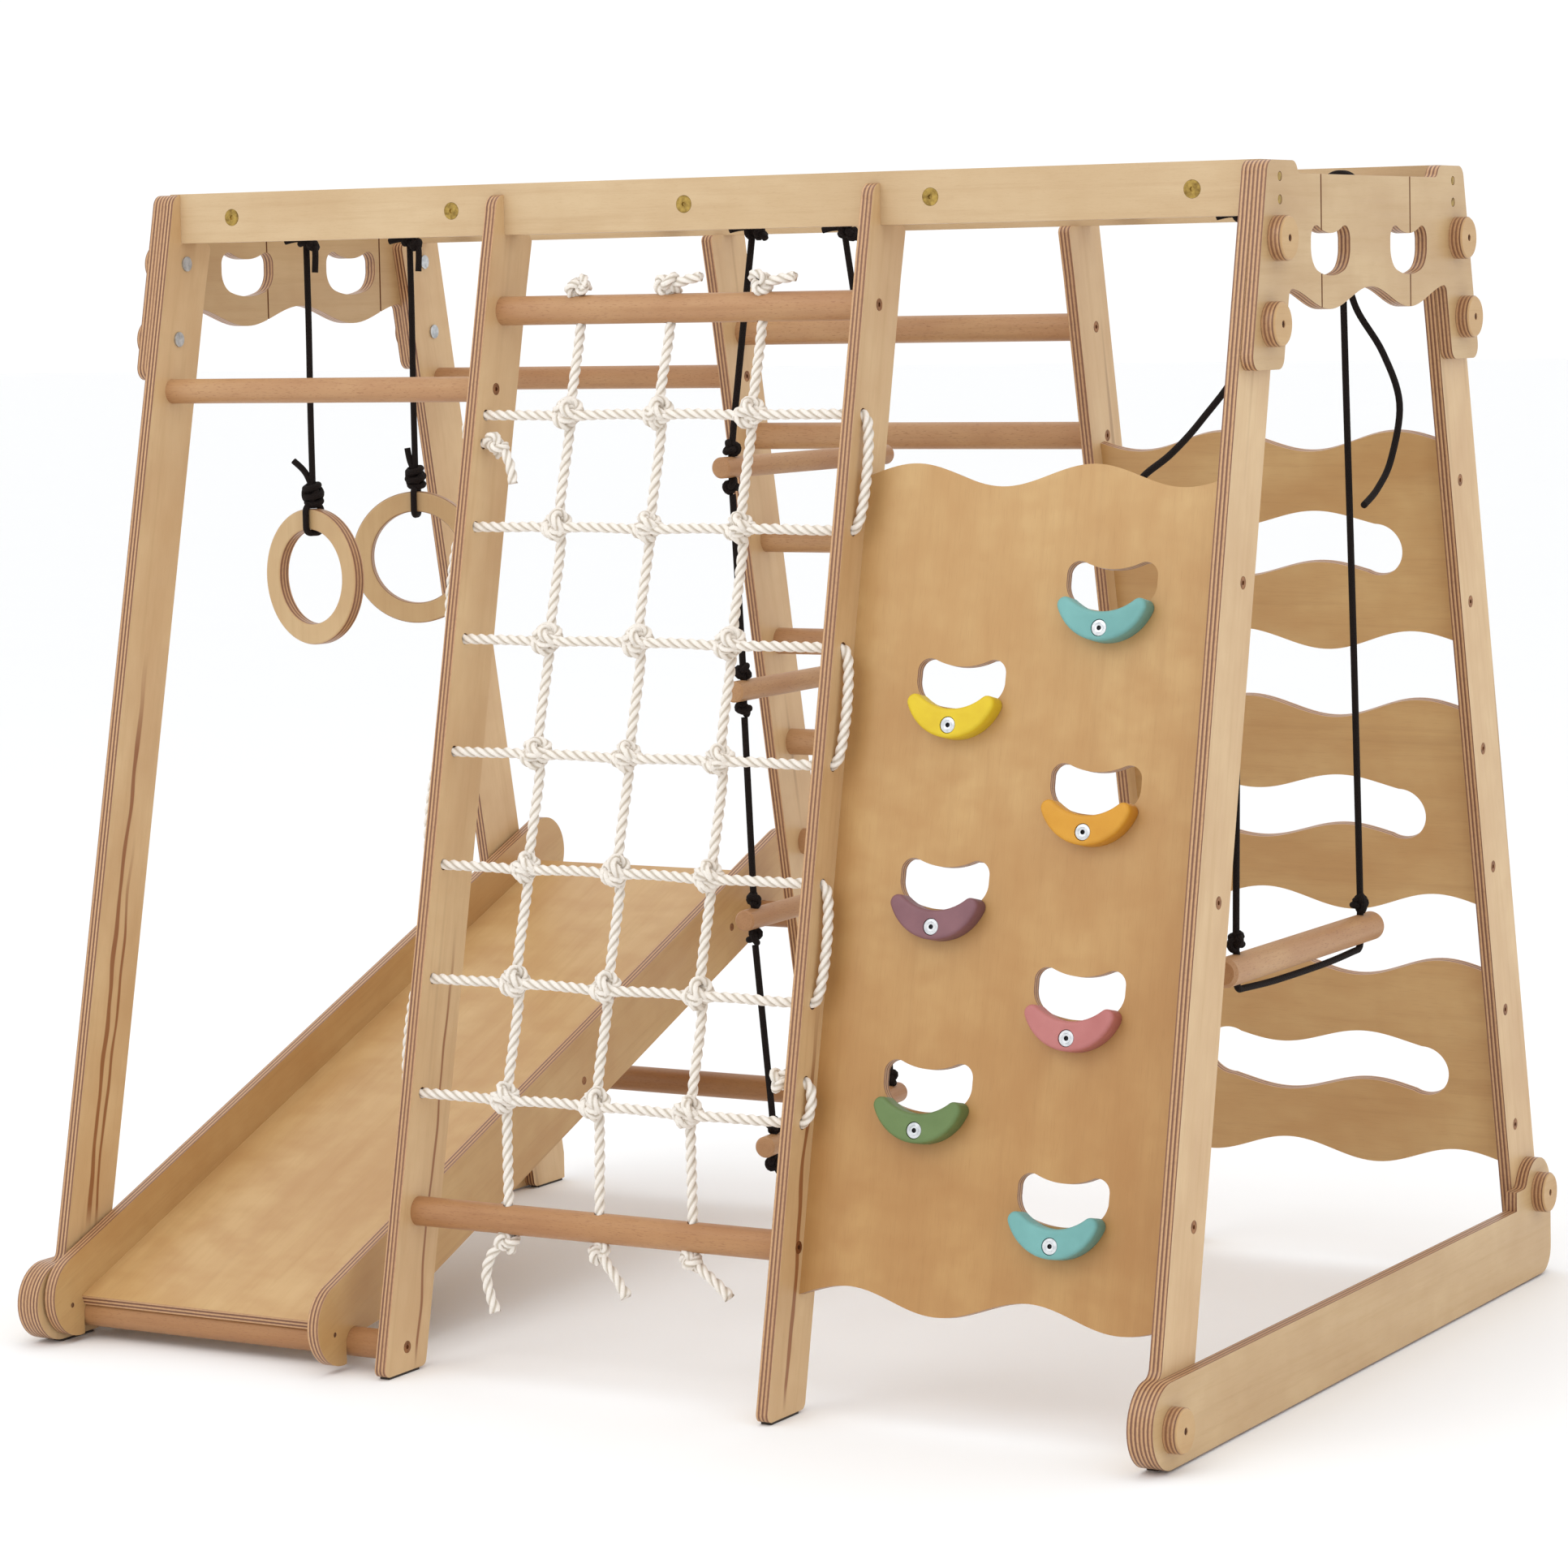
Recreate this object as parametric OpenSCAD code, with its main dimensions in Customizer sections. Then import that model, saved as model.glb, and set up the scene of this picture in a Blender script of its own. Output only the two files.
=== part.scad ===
// Indoor wooden climbing frame: eight leaning plywood legs under two top beams,
// with a rock wall, a rope net, a wall ladder, wavy boards, a slide, hanging
// rings, a rope ladder and a trapeze swing.
// Millimetres, +Z up, X along the frame, the front faces -Y.
// The origin is on the floor, under the middle of the frame's bounding box.

/* [Frame] */
// Height of the beams' top face above the floor
frame_h = 1363; // [1200:1:1500]
// Half of the overall length, to the outer faces of the end legs
half_len = 727; // [600:1:800]
// Outer face (towards +X) of the second pair of legs
leg2_x = -240; // [-320:1:-180]
// Outer face (towards +X) of the third pair of legs
leg3_x = 263; // [180:1:320]
// Thickness of the plywood
ply = 15; // [12:1:18]
// Width of a leg across its face
leg_w = 81.6; // [60:0.2:100]
// Lean of the front legs from vertical
lean_front = 12.2; // [5:0.1:18]
// Lean of the back legs from vertical
lean_back = 11.6; // [5:0.1:18]
// Distance from the middle plane to a leg's outer edge at the top
top_half = 280; // [200:1:350]
// Height of the top beams
beam_h = 60; // [40:1:80]
// Thickness of the top beams
beam_t = 30; // [18:1:40]
// Distance from the middle plane to a beam's outer face
beam_out = 268; // [200:1:320]
// Thickness of the pads under the feet
pad_t = 3; // [2:0.5:8]

/* [Bars] */
// Diameter of the main beech bars
bar_d = 34; // [25:1:40]
// Diameter of the front grab bar
grab_d = 30; // [20:1:40]
// Diameter of the rope ladder's rungs
rung_d = 25; // [20:1:35]
// Distance between the overhead bars
monkey_pitch = 320.5; // [250:0.5:360]
// Distance between the wall ladder's bars
wall_pitch = 134; // [100:1:180]
// Number of bars in the wall ladder
wall_bars = 8; // [5:1:9]

/* [Rock wall] */
// Thickness of the rock wall and of the wavy boards
panel_t = 12; // [9:1:18]
// Height of the lowest hold's bolt
hold_low = 206.8; // [150:0.2:300]
// Rise from one hold to the next
hold_rise = 108.3; // [80:0.1:130]
// Distance between the two columns of holds
hold_gap = 174; // [140:1:220]
// Thickness of a hold
hold_t = 24; // [15:1:35]

/* [Ropes] */
// Diameter of the white net rope
rope_d = 12; // [8:1:14]
// Diameter of the black cords
cord_d = 8; // [5:1:10]
// Distance between the net's rows
row_pitch = 129; // [100:1:160]
// Number of rows in the net
net_rows_n = 7; // [4:1:8]
// Distance between the net's uprights
upright_gap = 122; // [90:1:150]

/* [Swings] */
// Outer diameter of a hanging ring
ring_d = 170; // [140:1:200]
// Width of a ring's rim
ring_rim = 26; // [18:1:35]
// Length of the trapeze bar
trapeze_len = 424; // [350:1:450]
// Length of a rope ladder rung
rung_len = 404; // [300:1:420]

/* [Hidden] */
$fn = 48;
eps = 0.01;
gap = 0.3;
wood = [0.83, 0.70, 0.52];
warm_wood = [0.80, 0.65, 0.43];
beech = [0.77, 0.58, 0.42];
white_rope = [0.93, 0.91, 0.86];
black_cord = [0.09, 0.07, 0.07];
bronze = [0.45, 0.36, 0.26];
brass = [0.72, 0.60, 0.33];
steel = [0.80, 0.80, 0.80];

// Frame layout.  u is the distance outwards from the middle plane.
foot_r = 46;
foot_u = 562;
front_reach = foot_u + foot_r;
back_reach = 552;
y_shift = (front_reach - back_reach) / 2;
leg_wy = leg_w / cos(lean_front);
beam_z = frame_h - beam_h;
inner_x = half_len - ply;
bar_off = 38;
rope_off = 22;
board_off = 54;
nose_drop = 13;
legs_x = [-inner_x, leg2_x, leg3_x, half_len];

function lean(s) = s < 0 ? lean_front : lean_back;
// Distance outwards of the front (s = -1) or back (s = 1) leg's outer edge
function out(s, z) = top_half + (frame_h - z) * tan(lean(s));
// Y of a point that lies off behind the outer edge
function at_y(s, z, off) = s * (out(s, z) - off);

// Bars and bolts
grab_z = 1123;
low_z = 31;
low_back_z = 163;
net_top_z = 1214;
net_low_z = 184;
wall_top_z = 1180;
monkey_x0 = -635;
monkey_z = frame_h - beam_h / 2;
head_d = 14;
head_t = 3;
shank_d = 6;
shank_l = 42;
knob_bolt_d = 8;
panel_bolts = [911, 575, 240];
wavy_pitch = 325.5;
wavy_mid = [920, 920 - wavy_pitch, 920 - 2 * wavy_pitch];
wavy_bolts = [for (m = wavy_mid, d = [73, -73]) m + d];
wall_z = [for (k = [0 : wall_bars - 1]) wall_top_z - k * wall_pitch];
row_z = [for (k = [0 : net_rows_n - 1]) 1093 - k * row_pitch];
top_x = [for (k = [-1 : 1]) -11 + k * upright_gap];
cross_x = [for (k = [-1 : 1]) -8 + k * upright_gap];
low_x = [for (k = [-1 : 1]) 6 + k * upright_gap];
start_z = 1060;
finish_z = 364;

// Knobs on the end yokes and on the foot rails: [side, height]
yoke_knobs = [[-1, 1278], [-1, 1186], [1, 1278], [1, 1186]];
front_knob = [-561, 45];
ear_knob = [503, 107];
knob_d = 49;
knob_t = 16;

// Slide: its boards' axis starts over the low front bar
slide_x = [-708, -328];
slide_p = [-551, 56];
slide_a = 21.5;
slide_r = 48.5;
slide_len = 1121;
bed_t = 12;
bed_v = -2.8;
slide_ax = [cos(slide_a), sin(slide_a)];
function on_slide(s, v) = slide_p + s * slide_ax + v * [-slide_ax[1], slide_ax[0]];
low_bar = [at_y(-1, low_z, bar_off + 3), low_z];
low_v = (low_bar - slide_p) * [-slide_ax[1], slide_ax[0]];
rest_s = 1044.4;
rest_bar = on_slide(rest_s, low_v);
hook = bar_d / 2 + gap;
slack = 0.15;

// Rope ladder: [x, height, twist] of each rung
rungs = [[9, 1027, 0], [13, 765, 2], [18, 496, 3], [31, 229, 5.4]];
ladder_x = 6;
ladder_top = 112;
ladder_half = 176;
knot_drop = 22;
knot_r = 9;

// Trapeze
trapeze_x = monkey_x0 + 4 * monkey_pitch;
trapeze_z = 470;
trapeze_half = 176;
trapeze_top = 140;

// Rings: [y, height, turn] of each ring's middle
rings = [[-114, 886, -14], [114, 897, 20]];
ring_t = 17;

// Sets every piece about the middle of the bounding box
module place() {
  translate([0, y_shift, 0]) children();
}

// Stands a Y-Z outline up and makes it t thick from x
module slab_x(x, t) {
  translate([x, 0, 0]) rotate([90, 0, 90]) linear_extrude(height = t) children();
}

// Stands an X-height outline in the plane of the front or back boards
module slab_lean(s, off, t) {
  translate([0, at_y(s, 0, off), 0])
    rotate([s * lean(s), 0, 0])
      translate([0, t / 2, 0]) rotate([90, 0, 0]) linear_extrude(height = t) children();
}

module rounded(r) {
  offset(r = r) offset(delta = -r) children();
}

// Points of an arc, without its last one
function arc(c, r, from, to, n) =
  [for (k = [0 : n - 1]) let (a = from + (to - from) * k / n) c + r * [cos(a), sin(a)]];

module filleted(r) {
  offset(r = -r) offset(delta = r) children();
}

// A tube along points p, with the given diameter and number of sides
function unit(v) = v / norm(v);
function run(p, i) = unit(p[min(i + 1, len(p) - 1)] - p[max(i - 1, 0)]);
function side(t, r) = unit(r - (r * t) * t);
function frames(p, i = 0, r = [0.9, 0.3, 0.31]) =
  i == len(p) ? [] : let (q = side(run(p, i), r)) concat([q], frames(p, i + 1, q));
function ring_pts(c, t, q, d, n) =
  [for (k = [0 : n - 1]) c + d / 2 * (cos(360 * k / n) * q + sin(360 * k / n) * cross(t, q))];

module tube(p, d, n = 8) {
  m = len(p);
  f = frames(p);
  pts = [for (i = [0 : m - 1]) each ring_pts(p[i], run(p, i), f[i], d, n)];
  sides = [for (i = [0 : m - 2], k = [0 : n - 1])
    [i * n + k, (i + 1) * n + k, (i + 1) * n + (k + 1) % n, i * n + (k + 1) % n]];
  polyhedron(points = pts, faces = concat(
    [[for (k = [0 : n - 1]) k]],
    [[for (k = [n - 1 : -1 : 0]) (m - 1) * n + k]],
    sides), convexity = 10);
}

// Points of a smooth curve through the given points
function smooth(c, n = 6) = concat([for (i = [0 : len(c) - 2], k = [0 : n - 1])
  let (
    a = c[max(i - 1, 0)],
    b = c[i],
    d = c[i + 1],
    e = c[min(i + 2, len(c) - 1)],
    t = k / n
  )
  0.5 * (2 * b + (d - a) * t + (2 * a - 5 * b + 4 * d - e) * t * t
    + (3 * b - a - 3 * d + e) * t * t * t)], [c[len(c) - 1]]);

// A straight round rod between two points
module rod(a, b, d) {
  v = b - a;
  translate(a)
    rotate([0, acos(v[2] / norm(v)), atan2(v[1], v[0])])
      cylinder(h = norm(v), d = d);
}

module rod_x(x, y, z, l, d) {
  translate([x, y, z]) rotate([0, 90, 0]) cylinder(h = l, d = d);
}

// A bolt along X: its head is flush with the face at x and it points along dir
module bolt_x(x, dir, y, z, grow = 0) {
  translate([x, y, z]) rotate([0, dir * 90, 0]) {
    translate([0, 0, -eps * grow]) cylinder(h = head_t, d = head_d + 2 * grow * 0.2);
    cylinder(h = shank_l, d = shank_d + 2 * grow * 0.1);
  }
}

// Heights and head sides of each leg's bolts: [height, offset, side of the head]
function leg_bolts(s, i) =
  s < 0
    ? (i == 0 ? [[grab_z, bar_off, -1], [low_z, bar_off + 3, -1]]
      : i == 1 ? [[grab_z, bar_off, 1], [low_z, bar_off + 3, 1], [net_top_z, bar_off, -1],
                  [net_low_z, bar_off, -1]]
      : i == 2 ? concat([[net_top_z, bar_off, 1], [net_low_z, bar_off, 1]],
                        [for (z = panel_bolts) [z, board_off, -1]])
      : [for (z = panel_bolts) [z, board_off, 1]])
    : (i == 0 ? [[grab_z, bar_off, -1], [low_back_z, bar_off, -1], [rest_bar[1], rest_off, -1]]
      : i == 1 ? concat([[grab_z, bar_off, 1], [low_back_z, bar_off, 1],
                         [rest_bar[1], rest_off, 1]], [for (z = wall_z) [z, bar_off, -1]])
      : i == 2 ? concat([for (z = wall_z) [z, bar_off, 1]],
                        [for (z = wavy_bolts) [z, board_off, -1]])
      : [for (z = wavy_bolts) [z, board_off, 1]]);
rest_off = out(1, rest_bar[1]) - rest_bar[0];

module leg_bolt_set(s, i, grow = 0) {
  for (b = leg_bolts(s, i))
    bolt_x(legs_x[i] - (b[2] < 0 ? ply : 0), -b[2], at_y(s, b[0], b[1]), b[0], grow);
}

// Bores for the knob bolts in an end leg, yoke, rail or knob
module knob_bores(e, s, d) {
  for (k = yoke_knobs)
    if (k[0] == s)
      rod_x(e * half_len - 60, at_y(s, k[1], leg_wy / 2 - 3), k[1], 120, d);
  rod_x(e * half_len - 60, s < 0 ? front_knob[0] : ear_knob[0],
    s < 0 ? front_knob[1] : ear_knob[1], 120, d);
}

// A leg's outline, drawn outwards, with a nose in front of the beam
module leg_outline(s, end) {
  tip = frame_h - (end ? 1 : nose_drop);
  r = out(s, tip - ply) - beam_out;
  difference() {
    filleted(14) union() {
      rounded(9) polygon([
        [out(s, pad_t), pad_t],
        [out(s, beam_z - 20), beam_z - 20],
        [out(s, beam_z - 20) - leg_wy, beam_z - 20],
        [out(s, pad_t) - leg_wy, pad_t]]);
      if (end && s < 0) translate([foot_u, pad_t + foot_r]) circle(r = foot_r);
    }
    if (s > 0) translate([back_reach, 0]) square([60, 200]);
  }
  polygon(concat(
    [[out(s, beam_z - 60) - leg_wy, beam_z - 60], [out(s, beam_z - 60), beam_z - 60]],
    [for (a = [0 : 15 : 90]) [beam_out + r * cos(a), tip - r + r * sin(a)]],
    [[beam_out, beam_z]],
    [for (a = [90 : -15 : 0]) [out(s, beam_z) - leg_wy + 8 - 8 * cos(a), beam_z - 8 + 8 * sin(a)]]));
}

module leg(s, i) {
  end = i == 0 || i == 3;
  color(wood) place() difference() {
    slab_x(legs_x[i] - ply, ply)
      scale([s, 1]) leg_outline(s, end);
    leg_bolt_set(s, i, 1);
    if (end) knob_bores(i == 0 ? -1 : 1, s, knob_bolt_d + 0.2);
    if (s < 0 && (i == 1 || i == 2)) {
      for (z = row_z)
        rod_x(legs_x[i] - ply - 5, at_y(s, z, rope_off), z, ply + 10, rope_d + 1);
      z = i == 1 ? start_z : finish_z;
      rod_x(legs_x[i] - ply - 5, at_y(s, z, rope_off), z, ply + 10, rope_d + 1);
    }
  }
}

module beam(s) {
  color(wood) place() difference() {
    translate([-half_len, s > 0 ? beam_out - beam_t : -beam_out, beam_z])
      cube([2 * half_len, beam_t, beam_h]);
    for (k = [0 : 4]) beam_bolt(s, monkey_x0 + k * monkey_pitch, 1);
    for (e = [-1, 1]) yoke_screws_at(e, s, 1);
  }
}

module beam_bolt(s, x, grow = 0) {
  translate([x, s * beam_out, monkey_z]) rotate([s * 90, 0, 0]) {
    translate([0, 0, -eps * grow]) cylinder(h = 3, d = 20 + grow * 0.4);
    cylinder(h = beam_t + 34, d = 8 + grow * 0.2);
  }
}

module beam_bolts() {
  color(brass) place()
    for (s = [-1, 1], k = [0 : 4])
      difference() {
        beam_bolt(s, monkey_x0 + k * monkey_pitch);
        translate([monkey_x0 + k * monkey_pitch, s * (beam_out + 1), monkey_z])
          rotate([s * 90, 0, 0]) cylinder(h = 2.6, d = 6, $fn = 6);
      }
}

module monkey_bars() {
  color(beech) place()
    for (k = [0 : 4])
      difference() {
        translate([monkey_x0 + k * monkey_pitch, beam_t - beam_out, monkey_z])
          rotate([-90, 0, 0]) cylinder(h = 2 * (beam_out - beam_t), d = bar_d);
        for (s = [-1, 1]) beam_bolt(s, monkey_x0 + k * monkey_pitch, 1);
      }
}

// Wavy line used by the yokes, the rock wall and the boards
function wave(x, mid, amp, period, crest) = mid + amp * cos(360 * (x - crest) / period);

// A crescent w wide and h high, standing on the origin: a long arc below, two
// round tips of radius t, and a hollow d deep between them
module crescent(w, h, t, d) {
  cx = w / 2 - t;
  cz = h - t;
  low_r = (cx * cx + cz * cz - t * t) / (2 * (cz - t));
  fall = h - d - cz;
  top_r = (cx * cx + fall * fall - t * t) / (2 * (t - fall));
  low_a = atan2(cz - low_r, cx);
  top_a = atan2(fall + top_r, -cx);
  polygon(concat(
    arc([0, low_r], low_r, -180 - low_a, low_a, 32),
    arc([cx, cz], t, low_a, top_a, 18),
    arc([0, h - d + top_r], top_r, top_a - 180, -top_a, 16),
    arc([-cx, cz], t, 180 - top_a, 180 - low_a, 18)));
}

// Hand hole: a bowl with a nearly flat bottom, upright sides and a hollow top
hole_w = 109;
hole_h = 55;
hole_tip = 15;
hole_corner = 27;
hole_lift = 31;
hole_hollow = 8.5;
module hand_hole() {
  tip = [hole_w / 2 - hole_tip, hole_h - hole_tip];
  corner = [hole_w / 2 - hole_corner, hole_lift];
  low_r = (corner * corner - hole_corner * hole_corner) / (2 * (hole_lift - hole_corner));
  low_a = atan2(corner[1] - low_r, corner[0]);
  fall = hole_h - hole_hollow - tip[1];
  top_r = (tip[0] * tip[0] + fall * fall - hole_tip * hole_tip) / (2 * (hole_tip - fall));
  top_a = atan2(fall + top_r, -tip[0]);
  polygon(concat(
    arc([0, low_r], low_r, -180 - low_a, low_a, 20),
    arc(corner, hole_corner, low_a, 0, 14),
    arc(tip, hole_tip, 0, top_a, 14),
    arc([0, hole_h - hole_hollow + top_r], top_r, top_a - 180, -top_a, 16),
    arc([-tip[0], tip[1]], hole_tip, 180 - top_a, 180, 14),
    arc([-corner[0], corner[1]], hole_corner, 180, 180 - low_a, 14)));
}

module yoke_outline() {
  ys = [for (y = [-236 : 8 : 236]) y];
  u = function (z) top_half + (frame_h - z) * tan((lean_front + lean_back) / 2);
  difference() {
    filleted(10) union() {
      polygon(concat([for (y = ys) [y, wave(y, 1212, 12, 230, 0)]],
        [[236, 1348], [-236, 1348]]));
      for (s = [-1, 1])
        scale([s, 1]) rounded(15) polygon([[u(1137), 1137], [u(1362), 1362],
          [u(1362) - leg_wy, 1362], [u(1137) - leg_wy, 1137]]);
    }
    for (s = [-1, 1]) translate([s * 112.5, 1237]) hand_hole();
  }
}

groove_w = 3;
groove_t = 2;
module yoke_screws_at(e, s, grow = 0) {
  for (z = [1344.5, 1319.5])
    translate([e * (half_len + ply), s * 249, z]) rotate([0, -e * 90, 0]) {
      translate([0, 0, -eps * grow]) cylinder(h = 3, d = 10 + grow * 0.4);
      cylinder(h = 50, d = 5 + grow * 0.2);
    }
}

module yoke(e) {
  color(wood) place() difference() {
    slab_x(e > 0 ? half_len : -half_len - ply, ply) yoke_outline();
    for (s = [-1, 1]) {
      knob_bores(e, s, knob_bolt_d + 0.2);
      yoke_screws_at(e, s, 1);
    }
    for (y = e > 0 ? [-138, 117] : [-71, 178])
      translate([half_len * e + (e > 0 ? ply : 0) - groove_t, y - groove_w / 2, 1150])
        cube([2 * groove_t, groove_w, 250]);
  }
}

rail_top = 95;
module rail_outline() {
  filleted(12) union() {
    translate([front_knob[0] - 1, pad_t + foot_r]) circle(r = foot_r);
    translate([front_knob[0] - 1, pad_t]) square([1000, rail_top - pad_t]);
    translate(ear_knob) circle(r = 42);
    rounded(30) translate([350, pad_t]) square([195, 115]);
    translate([350, pad_t]) square([100, 60]);
  }
}

module rail(e) {
  color(wood) place() difference() {
    slab_x(e > 0 ? half_len : -half_len - ply, ply)
      intersection() {
        rail_outline();
        union() {
          translate([-620, 0]) square([1060, rail_top]);
          translate([430, 0]) square([120, 160]);
        }
      }
    for (s = [-1, 1]) knob_bores(e, s, knob_bolt_d + 0.2);
  }
}

// Round knobs on the bolts, outside the yokes and the rails
module knob_at(e, y, z) {
  translate([e * (half_len + ply), y, z]) rotate([0, e * 90, 0]) {
    cylinder(h = knob_t - 2, d = knob_d);
    translate([0, 0, knob_t - 2]) cylinder(h = 2, d1 = knob_d, d2 = knob_d - 4);
  }
}

module knobs() {
  color(warm_wood) place() difference() {
    for (e = [-1, 1]) {
      for (k = yoke_knobs) knob_at(e, at_y(k[0], k[1], leg_wy / 2 - 3), k[1]);
      knob_at(e, front_knob[0], front_knob[1]);
      knob_at(e, ear_knob[0], ear_knob[1]);
    }
    for (e = [-1, 1], s = [-1, 1]) knob_bores(e, s, knob_bolt_d + 0.2);
  }
}

// Steel bolts of the knobs, with low round heads on the legs' inner faces
module knob_bolt_at(e, y, z) {
  translate([e * inner_x, y, z]) rotate([0, e * 90, 0]) {
    translate([0, 0, -2.2]) cylinder(h = 2.2, d = 18);
    cylinder(h = 2 * ply + knob_t - 3, d = knob_bolt_d);
  }
}

module knob_bolts() {
  color(steel) place()
    for (e = [-1, 1]) {
      for (k = yoke_knobs) knob_bolt_at(e, at_y(k[0], k[1], leg_wy / 2 - 3), k[1]);
      knob_bolt_at(e, front_knob[0], front_knob[1]);
      knob_bolt_at(e, ear_knob[0], ear_knob[1]);
    }
}

module bar_bolts() {
  color(bronze) place()
    for (s = [-1, 1], i = [0 : 3])
      difference() {
        leg_bolt_set(s, i);
        for (b = leg_bolts(s, i))
          rod_x(legs_x[i] - (b[2] < 0 ? ply + 1 : 1.6), at_y(s, b[0], b[1]), b[0], 2.6, 5);
      }
}

module yoke_screws() {
  color(brass) place() for (e = [-1, 1], s = [-1, 1]) yoke_screws_at(e, s);
}

module slide_screws() {
  color(brass) place() slide_screws_at();
}

// A bar along X between two legs, bored at both ends for its bolts
module bar(i, s, z, off, d) {
  difference() {
    rod_x(legs_x[i], at_y(s, z, off), z, legs_x[i + 1] - ply - legs_x[i], d);
    for (k = [i, i + 1]) leg_bolt_set(s, k, 1);
  }
}

module grab_bars() {
  color(beech) place() {
    bar(0, -1, grab_z, bar_off, grab_d);
    bar(0, 1, grab_z, bar_off, grab_d);
  }
}

module low_bar_front() {
  color(beech) place() bar(0, -1, low_z, bar_off + 3, bar_d);
}

module slide_back_bars() {
  color(beech) place() {
    bar(0, 1, low_back_z, bar_off, bar_d);
    bar(0, 1, rest_bar[1], rest_off, bar_d);
  }
}

module wall_rungs() {
  color(beech) place() for (z = wall_z) bar(1, 1, z, bar_off, bar_d);
}

// The net's bars have an upright hole for each upright rope
module net_bar(z, holes_x) {
  color(beech) place() difference() {
    bar(1, -1, z, bar_off, bar_d);
    for (x = holes_x)
      translate([x, at_y(-1, z, bar_off), z - bar_d]) cylinder(h = 2 * bar_d, d = rope_d + 1);
  }
}

// Rock wall: wavy ends and a bean-shaped hole above each hold
panel_mid = (leg3_x + inner_x) / 2;
panel_x = [for (x = [leg3_x : (inner_x - leg3_x) / 64 : inner_x + eps]) x];
hole_rise = 20.6;
function hold_z(k) = hold_low + (6 - k) * hold_rise;
function hold_x(k) = panel_mid + (k % 2 == 0 ? 1 : -1) * hold_gap / 2;
function up(s, z) = z / cos(lean(s));

module climbing_panel() {
  color(warm_wood) place() difference() {
    slab_lean(-1, board_off, panel_t) difference() {
      polygon(concat(
        [for (x = panel_x) [x, up(-1, wave(x, 133, 12, 220, 323))]],
        [for (k = [64 : -1 : 0]) [panel_x[k], up(-1, wave(panel_x[k], 1023.5, 12.5, 220, 323))]]));
      for (k = [0 : 6])
        translate([hold_x(k), up(-1, hold_z(k) + hole_rise)]) hand_hole();
    }
    for (i = [2, 3]) leg_bolt_set(-1, i, 1);
    hold_bolts_at(0.2);
  }
}

module on_panel(k) {
  translate([0, at_y(-1, 0, board_off), 0])
    rotate([-lean_front, 0, 0])
      translate([hold_x(k), -panel_t / 2, up(-1, hold_z(k))])
        rotate([90, 0, 0]) children();
}

// Crescent hold with a stepped rounding and a recess for its bolt's head
module hold_shape() {
  translate([0, -14]) crescent(107, 48, 9, 15.5);
}

module hold(k, c) {
  color(c) place() on_panel(k) difference() {
    union() {
      linear_extrude(height = hold_t - 6) hold_shape();
      translate([0, 0, hold_t - 6]) linear_extrude(height = 3) offset(delta = -1.5) hold_shape();
      translate([0, 0, hold_t - 3]) linear_extrude(height = 3) offset(delta = -4) hold_shape();
    }
    translate([0, 0, -1]) cylinder(h = 40, d = 8.4);
    translate([0, 0, hold_t - 4]) cylinder(h = 10, d = 19.4);
  }
}

module hold_bolts_at(grow = 0) {
  for (k = [0 : 6])
    on_panel(k) {
      translate([0, 0, hold_t - 4]) cylinder(h = 4, d = 18);
      translate([0, 0, -panel_t - 2]) cylinder(h = hold_t + panel_t, d = 8 + grow);
    }
}

module hold_bolts() {
  color(steel) place() difference() {
    hold_bolts_at();
    for (k = [0 : 6]) on_panel(k) translate([0, 0, hold_t - 2.5]) cylinder(h = 5, d = 6, $fn = 6);
  }
}

// Wavy board with a wavy slot through it
slot_h = 32;
slot_x = [for (k = [0 : 48]) 357 + k * (616 - 357) / 48];
module wavy_board(m) {
  color(warm_wood) place() difference() {
    slab_lean(1, board_off, panel_t) difference() {
      polygon(concat(
        [for (x = panel_x) [x, up(1, wave(x, m - 121, 12, 225, 427))]],
        [for (k = [64 : -1 : 0]) [panel_x[k], up(1, wave(panel_x[k], m + 120, 12, 225, 427))]]));
      polygon(concat(
        [for (x = slot_x) [x, up(1, wave(x, m - 5, 10, 225, 540)) - slot_h]],
        [for (k = [48 : -1 : 0]) [slot_x[k], up(1, wave(slot_x[k], m - 5, 10, 225, 540)) + slot_h]]));
      for (x = [slot_x[0], slot_x[48]])
        translate([x, up(1, wave(x, m - 5, 10, 225, 540))]) circle(r = slot_h);
    }
    for (i = [2, 3]) leg_bolt_set(1, i, 1);
  }
}

// Slide boards: round-ended, hooked over the low bar and notched for the rest bar
module slide_outline() {
  difference() {
    translate(slide_p) rotate(slide_a) {
      polygon(concat(arc([slide_len, 0], slide_r, -90, 90, 36), [[slide_len, slide_r]],
        arc([0, 0], slide_r, 90, 270, 36), [[0, -slide_r]]));
    }
    translate(low_bar) circle(r = hook);
    translate([low_bar[0] - hook + slack, -20]) square([2 * (hook - slack), low_bar[1] + 20]);
    polygon([[low_bar[0], -20], [low_bar[0], low_bar[1]], [low_bar[0] + hook, low_bar[1] + 10],
      [low_bar[0] + 96, low_bar[1] + 22], [low_bar[0] + 140, -20]]);
    translate(rest_bar) circle(r = hook);
    translate(rest_bar) rotate(slide_a) translate([-hook - 1, -40]) square([2 * hook + 1 - slack, 40]);
    translate([-566, 46]) circle(d = 6);
  }
}

module slide_screws_at(grow = 0) {
  for (s = [170, 567, 964], e = [0, 1]) {
    p = on_slide(s, bed_v - bed_t / 2);
    translate([e == 0 ? slide_x[0] : slide_x[1] + ply, p[0], p[1]])
      rotate([0, e == 0 ? 90 : -90, 0]) {
        translate([0, 0, -eps * grow]) cylinder(h = 2.5, d = 10 + grow * 0.4);
        cylinder(h = 40, d = 4 + grow * 0.2);
      }
  }
}

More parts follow.
